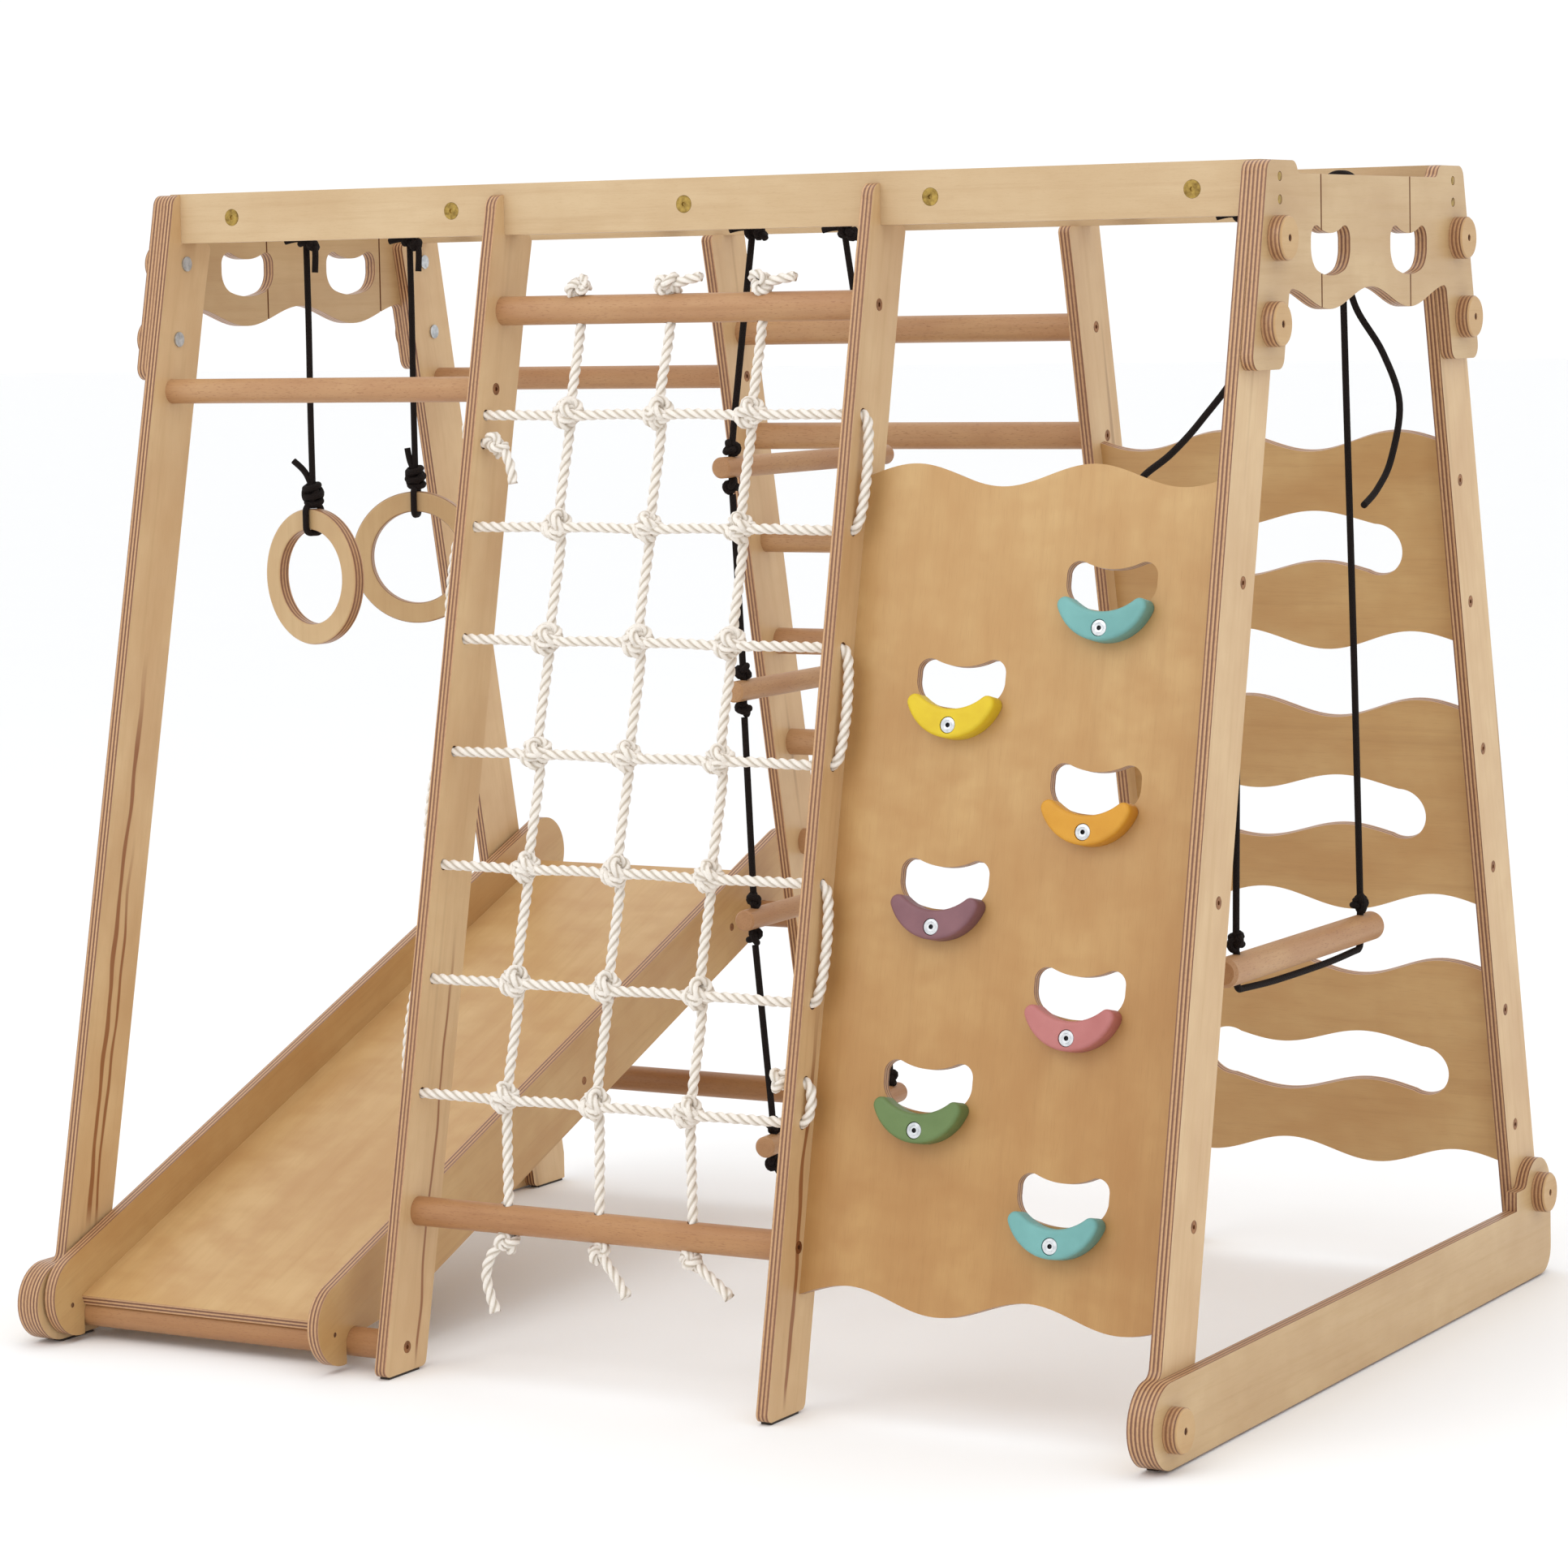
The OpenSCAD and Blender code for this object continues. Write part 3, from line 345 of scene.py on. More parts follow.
def upright_points(number):
    """One upright: a tail above the top bar, down past every row, a tail below the low bar."""
    top = front_y(NET_TOP_Z, BAR_OFF)
    low = front_y(NET_LOW_Z, BAR_OFF)
    x = TOP_X[number]
    pts = [(x + dx, top + dy, NET_TOP_Z + dz) for dx, dy, dz in TOP_TAILS[number]]
    pts += [(x, top, NET_TOP_Z + 0.024), (x, top, NET_TOP_Z), (x, top, NET_TOP_Z - 0.024)]
    x = CROSS_X[number]
    for k, z in enumerate(ROWS):
        sway = UPRIGHT_SWAY * (-1) ** (k + number)
        y = row_y(z) + UPRIGHT_BEHIND
        pts += [(x + sway, y, z + 0.02), (x, y, z), (x - sway, y, z - 0.02)]
    x = LOW_X[number]
    pts += [(x, low, NET_LOW_Z + 0.026), (x, low, NET_LOW_Z), (x, low - 0.002, NET_LOW_Z - 0.022)]
    return pts + [(x + dx, low + dy, NET_LOW_Z + dz) for dx, dy, dz in LOW_TAILS[number]]


NET_KNOT_ACROSS = 0.037
NET_KNOT_HIGH = 0.031
NET_KNOT_D = 0.0125
END_KNOT_D = 0.0115


def net_knots():
    """The knots at the crossings, at the uprights' ends and at the row rope's ends."""
    parts = []
    for top_x, x, low_x in zip(TOP_X, CROSS_X, LOW_X):
        for z in ROWS:
            axis = (0.55 + float(RNG.uniform(-0.1, 0.1)), -0.15, 0.8)
            at = (x, row_y(z) + 0.004, z + 0.002)
            parts += wound_knot(at, NET_KNOT_ACROSS, NET_KNOT_HIGH, 2, NET_KNOT_D, axis, strands=3)
        top = (top_x, front_y(NET_TOP_Z, BAR_OFF) - 0.002, NET_TOP_Z + 0.027)
        low = (low_x, front_y(NET_LOW_Z, BAR_OFF) - 0.004, NET_LOW_Z - 0.026)
        parts.append(rope_knot(top, 0.038, END_KNOT_D))
        parts.append(rope_knot(low, 0.034, END_KNOT_D))
    parts.append(rope_knot((LEG2_X + 0.018, row_y(START_Z), START_Z - 0.002), 0.037, END_KNOT_D))
    parts.append(rope_knot((LEG3_X - PLY - 0.016, row_y(FINISH_Z), FINISH_Z), 0.035, END_KNOT_D))
    thing = joined("net_knots_tied", parts)
    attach(thing, "frame")
    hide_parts("net_knots")
    return thing


def make_net():
    knots = net_knots()
    rows, line, length = rope_object("net_row_rope", rounded_path(lace_points()), ROPE_DRAWN, "frame",
                                     "white_rope", "net_rows", strands=3)
    declare(rows, line, length)
    ropes = [rows]
    for number in range(3):
        rope, line, length = rope_object(f"net_upright_{number + 1}", rounded_path(upright_points(number)),
                                         ROPE_DRAWN, "frame", "white_rope", "net_uprights", strands=3,
                                         swell=0.22)
        declare(rope, line, length)
        ropes.append(rope)
    return ropes + [knots]


NET = make_net()


# ---------------------------------------------------------------- black cords
BAR_TURNS = 2


def bar_wraps(x, y):
    """Turns of cord round an overhead bar, side by side."""
    parts = []
    reach = BAR_R + GAP + CORD_D / 2
    t = np.linspace(0, TAU, 48, endpoint=False)
    for k in range(BAR_TURNS):
        off = (k - (BAR_TURNS - 1) / 2) * CORD_D * 0.98
        p = np.column_stack([x + reach * np.cos(t), np.full_like(t, y + off), MONKEY_Z + reach * np.sin(t)])
        parts.append(tube(p, CORD_D, sides=12, closed=True))
    return parts


def stub(a, b, c):
    """A short cord end through three points."""
    return tube(rounded_path([a, b, c]), CORD_D, sides=12, step=CORD_D * 0.4)


CORD_KNOT = 0.024
CORD_KNOT_SMALL = 0.020


def cord_knot(at, across):
    return rope_knot(at, across, CORD_D, strands=0)


def bar_knot(x, y, drop):
    """The knot under an overhead bar: one end to the left, one hanging at the right."""
    z = MONKEY_Z - BAR_R - 0.013
    return [
        cord_knot((x, y, z), CORD_KNOT),
        cord_knot((x + 0.014, y - 0.006, z - 0.004), CORD_KNOT_SMALL),
        stub((x, y - 0.002, z + 0.004), (x - 0.013, y - 0.006, z + 0.004),
             (x - 0.026, y - 0.008, z + 0.001)),
        stub((x + 0.012, y - 0.006, z - 0.004), (x + 0.020, y - 0.008, z - 0.006),
             (x + 0.024 - drop * 0.15, y - 0.010, z - 0.006 - drop)),
    ]


def black(name, parts, body, node):
    """The knots of one black cord, as one piece."""
    thing = joined(name, parts)
    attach(thing, body)
    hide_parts(node)
    return thing


RING_X = -0.635
RINGS = {"front": (-0.114, 0.886, -14.0), "back": (0.114, 0.897, 20.0)}
RING_KNOT_ACROSS = 0.029
RING_KNOT_HIGH = 0.027
RING_STUBS = {"front": [(0, 0, 0.010), (-0.008, -0.002, 0.032), (-0.024, -0.006, 0.046)],
              "back": [(0, 0, 0.010), (-0.007, -0.002, 0.024), (-0.009, -0.004, 0.042)]}
RING_R = 0.085
RIM = 0.026
RING_T = 0.017
RIM_ROUND = 0.003


def rim_loop(at, turn):
    """The cord's turn round a ring's rim."""
    reach = RIM_ROUND + GAP + CORD_D / 2
    a = math.radians(turn)
    pts = []
    for quarter, (sn, sz) in enumerate(((1, 1), (-1, 1), (-1, -1), (1, -1))):
        for t in np.linspace(quarter, quarter + 1, 7) * math.pi / 2:
            n = sn * (RING_T / 2 - RIM_ROUND) + reach * math.cos(t)
            z = sz * (RIM / 2 - RIM_ROUND) + reach * math.sin(t)
            pts.append((at[0] - n * math.sin(a), at[1] + n * math.cos(a), at[2] + z))
    return tube(np.array(pts), CORD_D, sides=12, closed=True)


def ring_cord(which):
    y, z, turn = RINGS[which]
    y += Y_SHIFT
    body = f"ring_{which}_swing"
    rim_z = z + RING_R - RIM / 2
    knot_z = z + RING_R + 0.014
    knots = wound_knot((RING_X, y, knot_z + 0.004), RING_KNOT_ACROSS, RING_KNOT_HIGH, 3, CORD_D)
    knots.append(rim_loop((RING_X, y, rim_z), turn))
    knots.append(stub(*[(RING_X + dx, y + dy, knot_z + dz) for dx, dy, dz in RING_STUBS[which]]))
    knots += bar_wraps(RING_X, y) + bar_knot(RING_X, y, 0.032)
    tied = black(f"ring_{which}_knots", knots, body, f"ring_{which}_cord")
    top = MONKEY_Z - BAR_R - 0.014
    pts = [(RING_X, y, top), (RING_X + 0.0006, y, (top * 2 + knot_z) / 3),
           (RING_X - 0.0006, y, (top + knot_z * 2) / 3), (RING_X, y, knot_z)]
    cord, line, length = rope_object(f"ring_{which}_hanger", rounded_path(pts), CORD_D, body,
                                     "black_cord", f"ring_{which}_cord", sides=12)
    declare(cord, line, length)
    return [tied, cord]


TRAPEZE_X = 0.647
TRAPEZE_Z = 0.470
TRAPEZE_TOP = 0.140
TRAPEZE_HALF = 0.176
TRAPEZE_KNOT = 0.025
TRAPEZE_UNDER = TRAPEZE_Z - BAR_R - CORD_D / 2 - 0.002
TRAPEZE_SIDE = [
    (TRAPEZE_TOP, MONKEY_Z - BAR_R - GAP - CORD_D + 0.002), (0.150, 1.100), (0.165, 0.800),
    (TRAPEZE_HALF, 0.520), (TRAPEZE_HALF, TRAPEZE_Z + 0.018), (TRAPEZE_HALF, TRAPEZE_Z),
    (TRAPEZE_HALF, TRAPEZE_Z - 0.016), (TRAPEZE_HALF - 0.006, TRAPEZE_UNDER),
    (TRAPEZE_HALF - 0.020, TRAPEZE_UNDER - 0.001), (0.070, TRAPEZE_UNDER - 0.004),
]
FRONT_TAIL = [(0.648, -0.142, 1.304), (0.650, -0.146, 1.260), (0.652, -0.146, 1.200),
              (0.644, -0.146, 1.137), (0.612, -0.175, 1.080), (0.596, -0.220, 1.045),
              (0.582, -0.262, 1.022), (0.574, -0.280, 1.000)]
BACK_TAIL = [(0.648, 0.142, 1.304), (0.650, 0.146, 1.250), (0.660, 0.150, 1.200), (0.686, 0.167, 1.147),
             (0.692, 0.202, 1.087), (0.690, 0.180, 1.023), (0.690, 0.138, 0.990), (0.690, 0.097, 0.973)]


CURVE_STEPS = 8


def curve_through(points):
    """Points of a smooth curve that passes through the given ones."""
    c = np.asarray(points, dtype=float)
    got = []
    for i in range(len(c) - 1):
        a, b, d, e = c[max(i - 1, 0)], c[i], c[i + 1], c[min(i + 2, len(c) - 1)]
        for k in range(CURVE_STEPS):
            t = k / CURVE_STEPS
            got.append(0.5 * (2 * b + (d - a) * t + (2 * a - 5 * b + 4 * d - e) * t**2
                              + (3 * b - a - 3 * d + e) * t**3))
    return np.vstack([got, c[-1:]])


def shifted(points):
    return [(x, y + Y_SHIFT, z) for x, y, z in points]


def trapeze_cords():
    route = [(TRAPEZE_X, -y, z) for y, z in TRAPEZE_SIDE]
    route += [(TRAPEZE_X, y, z) for y, z in reversed(TRAPEZE_SIDE)]
    knots = []
    for e in (-1, 1):
        knots += bar_wraps(TRAPEZE_X, e * TRAPEZE_TOP + Y_SHIFT)
        knots += bar_knot(TRAPEZE_X, e * TRAPEZE_TOP + Y_SHIFT, 0.004)
        at = (TRAPEZE_X, e * TRAPEZE_HALF + Y_SHIFT, TRAPEZE_Z + BAR_R + 0.012)
        knots.append(cord_knot(at, TRAPEZE_KNOT))
        knots.append(cord_knot((at[0], at[1], at[2] + 0.006), CORD_KNOT_SMALL))
    tied = black("trapeze_knots", knots, "trapeze", "trapeze_cord")
    cord, line, length = rope_object("trapeze_rope", curve_through(shifted(route)), CORD_D, "trapeze",
                                     "black_cord", "trapeze_cord", sides=12)
    declare(cord, line, length)
    things = [tied, cord]
    for name, pts in (("front", FRONT_TAIL), ("back", BACK_TAIL)):
        tail, line, length = rope_object(f"trapeze_tail_{name}", curve_through(shifted(pts)), CORD_D,
                                         "trapeze", "black_cord", "trapeze_tails", sides=12)
        declare(tail, line, length)
        things.append(tail)
    return things


RUNGS = [(0.009, 1.027, 0.0), (0.013, 0.765, 2.0), (0.018, 0.496, 3.0), (0.031, 0.229, 5.4)]
LADDER_X = 0.006
LADDER_TOP = 0.112
LADDER_HALF = 0.176
KNOT_DROP = 0.022
KNOT_REACH = 0.0098  # from a knot's middle to where the next cord leaves it
LADDER_BODIES = ["ladder_top", "ladder_second", "ladder_third", "ladder_bottom"]


def rung_end(k, e):
    x, z, turn = RUNGS[k]
    a = math.radians(turn)
    return np.array([x - e * LADDER_HALF * math.sin(a), e * LADDER_HALF * math.cos(a) + Y_SHIFT, z])


def ladder_cords():
    things = []
    drop = np.array([0, 0, KNOT_DROP])
    for k, body in enumerate(LADDER_BODIES):
        node = f"ladder_cords_{k + 1}"
        knots = []
        for e in (-1, 1):
            b = rung_end(k, e)
            for at in (b + drop, b - drop):
                knots.append(cord_knot(at, CORD_KNOT))
            if k == 0:
                y = e * LADDER_TOP + Y_SHIFT
                knots += bar_wraps(LADDER_X, y)
                knots += bar_knot(LADDER_X, y, 0.004)
            if k == 3:
                low = b - drop
                knots.append(stub(low, low + (0.002, 0.003, -0.008), low + (0.008, 0.006, -0.018)))
        tied = black(f"ladder_knots_{k + 1}", knots, body, node)
        things.append(tied)
        for e in (-1, 1):
            b = rung_end(k, e)
            if k == 0:
                a = np.array([LADDER_X, e * LADDER_TOP + Y_SHIFT, MONKEY_Z - BAR_R - 0.016])
            else:
                a = rung_end(k - 1, e) - drop
                a = a + KNOT_REACH * (b - a) / np.linalg.norm(b - a)
            side = "front" if e < 0 else "back"
            curve = rounded_path([a, (a + b + drop) / 2, b + drop, b, b - drop])
            cord, line, length = rope_object(f"ladder_cord_{side}_{k + 1}", curve, CORD_D, body,
                                             "black_cord", node, sides=12)
            declare(cord, line, length)
            things.append(cord)
    return things


BLACK = ring_cord("front") + ring_cord("back") + trapeze_cords() + ladder_cords()


# ---------------------------------------------------------------- materials
class Nodes:
    """Short calls for building a node tree."""

    def __init__(self, name):
        self.material = bpy.data.materials.new(name)
        self.material.use_nodes = True
        self.tree = self.material.node_tree
        self.tree.nodes.clear()
        out = self.tree.nodes.new("ShaderNodeOutputMaterial")
        self.shader = self.tree.nodes.new("ShaderNodeBsdfPrincipled")
        self.link(self.shader.outputs[0], out.inputs[0])

    def link(self, a, b):
        self.tree.links.new(a, b)

    def put(self, socket, value):
        if isinstance(value, bpy.types.NodeSocket):
            self.link(value, socket)
        elif value is not None:
            socket.default_value = value

    def make(self, kind, values=(), **settings):
        node = self.tree.nodes.new(kind)
        for key, value in settings.items():
            setattr(node, key, value)
        for socket, value in zip(node.inputs, values):
            self.put(socket, value)
        return node

    def math(self, op, a, b=None):
        return self.make("ShaderNodeMath", (a, b), operation=op).outputs[0]

    def vector(self, op, a, b=None):
        node = self.make("ShaderNodeVectorMath", (a, b), operation=op)
        return node.outputs["Value" if op in ("DOT_PRODUCT", "LENGTH") else "Vector"]

    def combine(self, x, y, z):
        return self.make("ShaderNodeCombineXYZ", (x, y, z)).outputs[0]

    def noise(self, at, scale, detail=3.0, rough=0.55):
        node = self.make("ShaderNodeTexNoise")
        self.put(node.inputs["Vector"], at)
        node.inputs["Scale"].default_value = scale
        node.inputs["Detail"].default_value = detail
        node.inputs["Roughness"].default_value = rough
        return node.outputs["Fac"]

    def fit(self, value, low, high, to_low=0.0, to_high=1.0):
        node = self.make("ShaderNodeMapRange", (value, low, high, to_low, to_high))
        return node.outputs[0]

    def mix(self, amount, a, b, blend="MIX"):
        node = self.make("ShaderNodeMix", data_type="RGBA", blend_type=blend)
        self.put(node.inputs[0], amount)
        self.put(node.inputs[6], a)
        self.put(node.inputs[7], b)
        return node.outputs[2]

    def bump(self, height, strength, distance):
        node = self.make("ShaderNodeBump")
        node.inputs["Strength"].default_value = strength
        node.inputs["Distance"].default_value = distance
        self.put(node.inputs["Height"], height)
        self.link(node.outputs[0], self.shader.inputs["Normal"])

    def set(self, **values):
        for key, value in values.items():
            self.put(self.shader.inputs[key.replace("_", " ")], value)


def rgb(text):
    """Scene-linear colour of a hex colour."""
    got = []
    for i in (0, 2, 4):
        c = int(text[i:i + 2], 16) / 255
        got.append(c / 12.92 if c <= 0.04045 else ((c + 0.055) / 1.055) ** 2.4)
    return (*got, 1.0)


VENEER = 0.0024  # one layer of the plywood


def wood_axes(m, normal, grain):
    """Places along the grain, across it and through the board, in metres."""
    normal, grain = Vector(normal), Vector(grain)
    across = normal.cross(grain)
    where = m.make("ShaderNodeTexCoord").outputs["Object"]
    return where, [m.vector("DOT_PRODUCT", where, tuple(v)) for v in (grain, across, normal)]


def grain_colour(m, along, across, deep, light, mid, dark, seed=0.0, figure=1.0):
    """Varnished wood: broad tone, long streaks, cross figure and fine pores."""
    broad = m.noise(m.combine(m.math("MULTIPLY", along, 2.6), m.math("MULTIPLY", across, 6.0),
                              m.math("ADD", m.math("MULTIPLY", deep, 9.0), seed)), 2.2, 3.0)
    streak = m.noise(m.combine(m.math("MULTIPLY", along, 2.2), m.math("MULTIPLY", across, 60.0),
                               m.math("ADD", m.math("MULTIPLY", deep, 60.0), seed)), 1.6, 4.0, 0.62)
    cloud = m.noise(m.combine(m.math("MULTIPLY", along, 14.0), m.math("MULTIPLY", across, 9.0), seed),
                    1.7, 2.0)
    pore = m.noise(m.combine(m.math("MULTIPLY", along, 45.0), m.math("MULTIPLY", across, 900.0),
                             m.math("MULTIPLY", deep, 900.0)), 1.0, 2.0)
    colour = m.mix(m.fit(broad, 0.32, 0.68), light, mid)
    colour = m.mix(m.math("MULTIPLY", m.fit(streak, 0.50, 0.80), 0.55 / (1 + figure)), colour, dark)
    colour = m.mix(m.math("MULTIPLY", m.fit(cloud, 0.42, 0.72), 0.40 * figure), colour, mid)
    colour = m.mix(m.math("MULTIPLY", m.fit(pore, 0.56, 0.72), 0.16), colour, dark)
    return colour, streak, pore


def vein(m, along, across, at, start, end, width, seed):
    """A dark wavy mineral line along the grain, between two heights."""
    sway = m.math("MULTIPLY", m.math("SUBTRACT", m.noise(m.combine(along, seed, 0.0), 5.0, 2.0), 0.5), 0.030)
    off = m.math("ABSOLUTE", m.math("SUBTRACT", m.math("SUBTRACT", across, at), sway))
    thick = m.math("MULTIPLY", m.noise(m.combine(along, seed + 3.0, 0.0), 9.0, 2.0), width * 2)
    line = m.math("SUBTRACT", 1.0, m.fit(m.math("SUBTRACT", off, thick), 0.0, 0.0018))
    ends = m.math("MULTIPLY", m.fit(along, start, start + 0.03), m.fit(along, end, end - 0.12))
    return m.math("MULTIPLY", line, ends)


def ply(name, normal, grain, light, mid, dark, seed=0.0, streaks=0.35, veins=(), figure=1.0,
        foot=None):
    """Clear-varnished plywood: figured faces and striped edges."""
    m = Nodes(name)
    where, (along, across, deep) = wood_axes(m, normal, grain)
    face, streak, pore = grain_colour(m, along, across, deep, rgb(light), rgb(mid), rgb(dark), seed, figure)
    mineral = m.noise(m.combine(m.math("MULTIPLY", along, 0.9), m.math("MULTIPLY", across, 26.0),
                                seed + 4.0), 1.5, 2.0, 0.4)
    face = m.mix(m.math("MULTIPLY", m.fit(mineral, 0.66, 0.74), streaks), face, rgb("8A6138"))
    for number, (at, start, end, width) in enumerate(veins):
        line = vein(m, along, across, at, start, end, width, seed + number)
        face = m.mix(m.math("MULTIPLY", line, 0.85), face, rgb("85481A"))
    # Painted shade: towards the board's foot its colour is multiplied by the foot colour, darker low down
    # where less light falls
    if foot:
        face = m.mix(m.fit(along, 0.15, 0.95, 0.75, 0.0), face, rgb(foot), "MULTIPLY")
    layer = m.math("DIVIDE", deep, VENEER)
    wobble = m.math("MULTIPLY", m.noise(where, 12.0, 1.0), 0.30)
    layer = m.math("ADD", layer, wobble)
    turn = m.math("FRACT", m.math("MULTIPLY", layer, 0.5))
    tri = m.math("ABSOLUTE", m.math("SUBTRACT", m.math("MULTIPLY", turn, 2.0), 1.0))
    stripe = m.fit(tri, 0.30, 0.70)
    number = m.math("FLOOR", layer)
    own = m.make("ShaderNodeTexWhiteNoise", (), noise_dimensions="1D")
    m.put(own.inputs["W"], number)
    fleck = m.noise(m.combine(m.math("MULTIPLY", along, 260.0), m.math("MULTIPLY", across, 260.0),
                              m.math("MULTIPLY", number, 3.7)), 1.0, 2.0)
    edge = m.mix(stripe, rgb("69412F"), rgb("C99F74"))
    edge = m.mix(m.math("MULTIPLY", own.outputs[0], 0.45), edge, rgb("A97C58"))
    edge = m.mix(m.math("MULTIPLY", m.fit(fleck, 0.45, 0.75), 0.25), edge, rgb("553728"))
    outward = m.make("ShaderNodeTexCoord").outputs["Normal"]
    facing = m.math("ABSOLUTE", m.vector("DOT_PRODUCT", outward, normal))
    is_face = m.fit(facing, 0.55, 0.8)
    m.set(Base_Color=m.mix(is_face, edge, face))
    m.set(Roughness=m.fit(streak, 0.2, 0.8, 0.36, 0.50), Specular_IOR_Level=0.42, Coat_Weight=0.12,
          Coat_Roughness=0.28)
    groove = m.math("MULTIPLY", m.math("SUBTRACT", 1.0, is_face), stripe)
    height = m.math("ADD", m.math("MULTIPLY", pore, 0.35), m.math("MULTIPLY", groove, 0.8))
    m.bump(height, 0.30, 0.0004)
    return m.material


def solid_wood(name, normal, grain, light, mid, dark, seed=0.0, flecks=0.5):
    """Varnished solid wood with short dark flecks along its grain."""
    m = Nodes(name)
    _, (along, across, deep) = wood_axes(m, normal, grain)
    colour, streak, pore = grain_colour(m, along, across, deep, rgb(light), rgb(mid), rgb(dark), seed, 0.6)
    fleck = m.noise(m.combine(m.math("MULTIPLY", along, 140.0), m.math("MULTIPLY", across, 950.0),
                              m.math("MULTIPLY", deep, 950.0)), 1.0, 1.0)
    colour = m.mix(m.math("MULTIPLY", m.fit(fleck, 0.60, 0.70), flecks), colour, rgb("8A5B3A"))
    m.set(Base_Color=colour, Roughness=m.fit(streak, 0.2, 0.8, 0.40, 0.54), Specular_IOR_Level=0.4,
          Coat_Weight=0.08, Coat_Roughness=0.3)
    m.bump(m.math("ADD", pore, m.math("MULTIPLY", fleck, 0.6)), 0.22, 0.0003)
    return m.material


def rope_material(name, light, shade, fibre, strength, braid):
    """Rope or cord: fibres follow the UVs that run along and round it."""
    m = Nodes(name)
    uv = m.make("ShaderNodeTexCoord").outputs["UV"]
    parts = m.make("ShaderNodeSeparateXYZ", (uv,))
    u, v = parts.outputs[0], parts.outputs[1]
    if braid:
        a = m.math("SINE", m.math("ADD", m.math("MULTIPLY", u, 9.0), m.math("MULTIPLY", v, TAU * 8)))
        b = m.math("SINE", m.math("SUBTRACT", m.math("MULTIPLY", u, 9.0), m.math("MULTIPLY", v, TAU * 8)))
        pattern = m.math("MAXIMUM", a, b)
        pattern = m.fit(pattern, -0.4, 1.0)
    else:
        strand = m.math("MULTIPLY", m.math("SUBTRACT", v, m.math("DIVIDE", u, ROPE_LAY)), 3.0)
        groove = m.math("ABSOLUTE", m.math("SUBTRACT", m.math("FRACT", m.math("ADD", strand, 0.5)), 0.5))
        slant = m.math("ADD", m.math("MULTIPLY", v, 30.0), m.math("MULTIPLY", u, 14.0))
        fibres = m.noise(m.combine(m.math("MULTIPLY", u, 1.4), slant, 0.0), 1.0, 2.0)
        pattern = m.math("MULTIPLY", m.fit(groove, 0.5, 0.22), m.fit(fibres, 0.1, 0.5, 0.6, 1.0))
    fuzz = m.noise(m.make("ShaderNodeTexCoord").outputs["Object"], 900.0, 2.0)
    # Painted shade: the grooves between the twisted strands, and the hollows of the braid, take the shade
    # colour
    colour = m.mix(pattern, rgb(shade), rgb(light))
    colour = m.mix(m.math("MULTIPLY", m.fit(fuzz, 0.4, 0.7), 0.35), colour, rgb(fibre))
    m.set(Base_Color=colour, Roughness=m.fit(fuzz, 0.2, 0.8, 0.76, 0.94), Specular_IOR_Level=0.2,
          Sheen_Weight=0.0 if braid else 0.1, Sheen_Roughness=0.5)
    m.bump(m.math("ADD", pattern, m.math("MULTIPLY", fuzz, 0.5)), strength, 0.0007)
    return m.material


def hold_material(name, colour, deep):
    """Cast resin hold, fine orange-peel surface."""
    m = Nodes(name)
    where = m.make("ShaderNodeTexCoord").outputs["Object"]
    broad = m.noise(where, 22.0, 3.0)
    fine = m.noise(where, 900.0, 3.0)
    mixed = m.mix(m.fit(broad, 0.3, 0.7), rgb(colour), rgb(deep))
    m.set(Base_Color=mixed, Roughness=m.fit(fine, 0.3, 0.7, 0.44, 0.60), Specular_IOR_Level=0.4)
    m.bump(fine, 0.35, 0.0004)
    return m.material


def metal(name, colour, worn, rough):
    """Plated metal, dull in places."""
    m = Nodes(name)
    where = m.make("ShaderNodeTexCoord").outputs["Object"]
    broad = m.noise(where, 160.0, 3.0)
    fine = m.noise(where, 1800.0, 2.0)
    m.set(Base_Color=m.mix(m.fit(broad, 0.35, 0.7), rgb(colour), rgb(worn)), Metallic=0.9,
          Roughness=m.fit(fine, 0.3, 0.7, rough, rough + 0.16))
    m.bump(fine, 0.12, 0.0002)
    return m.material


def rubber(name):
    """Dark rubber of the foot pads."""
    m = Nodes(name)
    fine = m.noise(m.make("ShaderNodeTexCoord").outputs["Object"], 700.0, 3.0)
    m.set(Base_Color=m.mix(fine, rgb("2A241F"), rgb("463B32")), Roughness=m.fit(fine, 0.3, 0.7, 0.7, 0.9))
    m.bump(fine, 0.3, 0.0004)
    return m.material


BIRCH = ("D7B88B", "C8A477", "AE8558")
BIRCH_END = ("CAAC7F", "BC9A6D", "A47C50")
WARM = ("C9A672", "BA915D", "9C7344")
BEECH = ("BB9369", "AC7F58", "8B613E")
# Painted shade: the same beech darkened for the low bars, as they get less light than the high ones
BEECH_PAINTED_SHADE_LOW = ("B28559", "A3734A", "845834")
BEAM = ("CDB38D", "C0A27A", "A8845B")
UP_FRONT = (0, math.sin(LEAN_FRONT), math.cos(LEAN_FRONT))
UP_BACK = (0, -math.sin(LEAN_BACK), math.cos(LEAN_BACK))
DOWN_SLIDE = (0, math.cos(SLIDE_SLOPE), math.sin(SLIDE_SLOPE))
X_AXIS, Y_AXIS, Z_AXIS = (1, 0, 0), (0, 1, 0), (0, 0, 1)


def ring_axis(which):
    a = math.radians(RINGS[which][2])
    return (-math.sin(a), math.cos(a), 0)


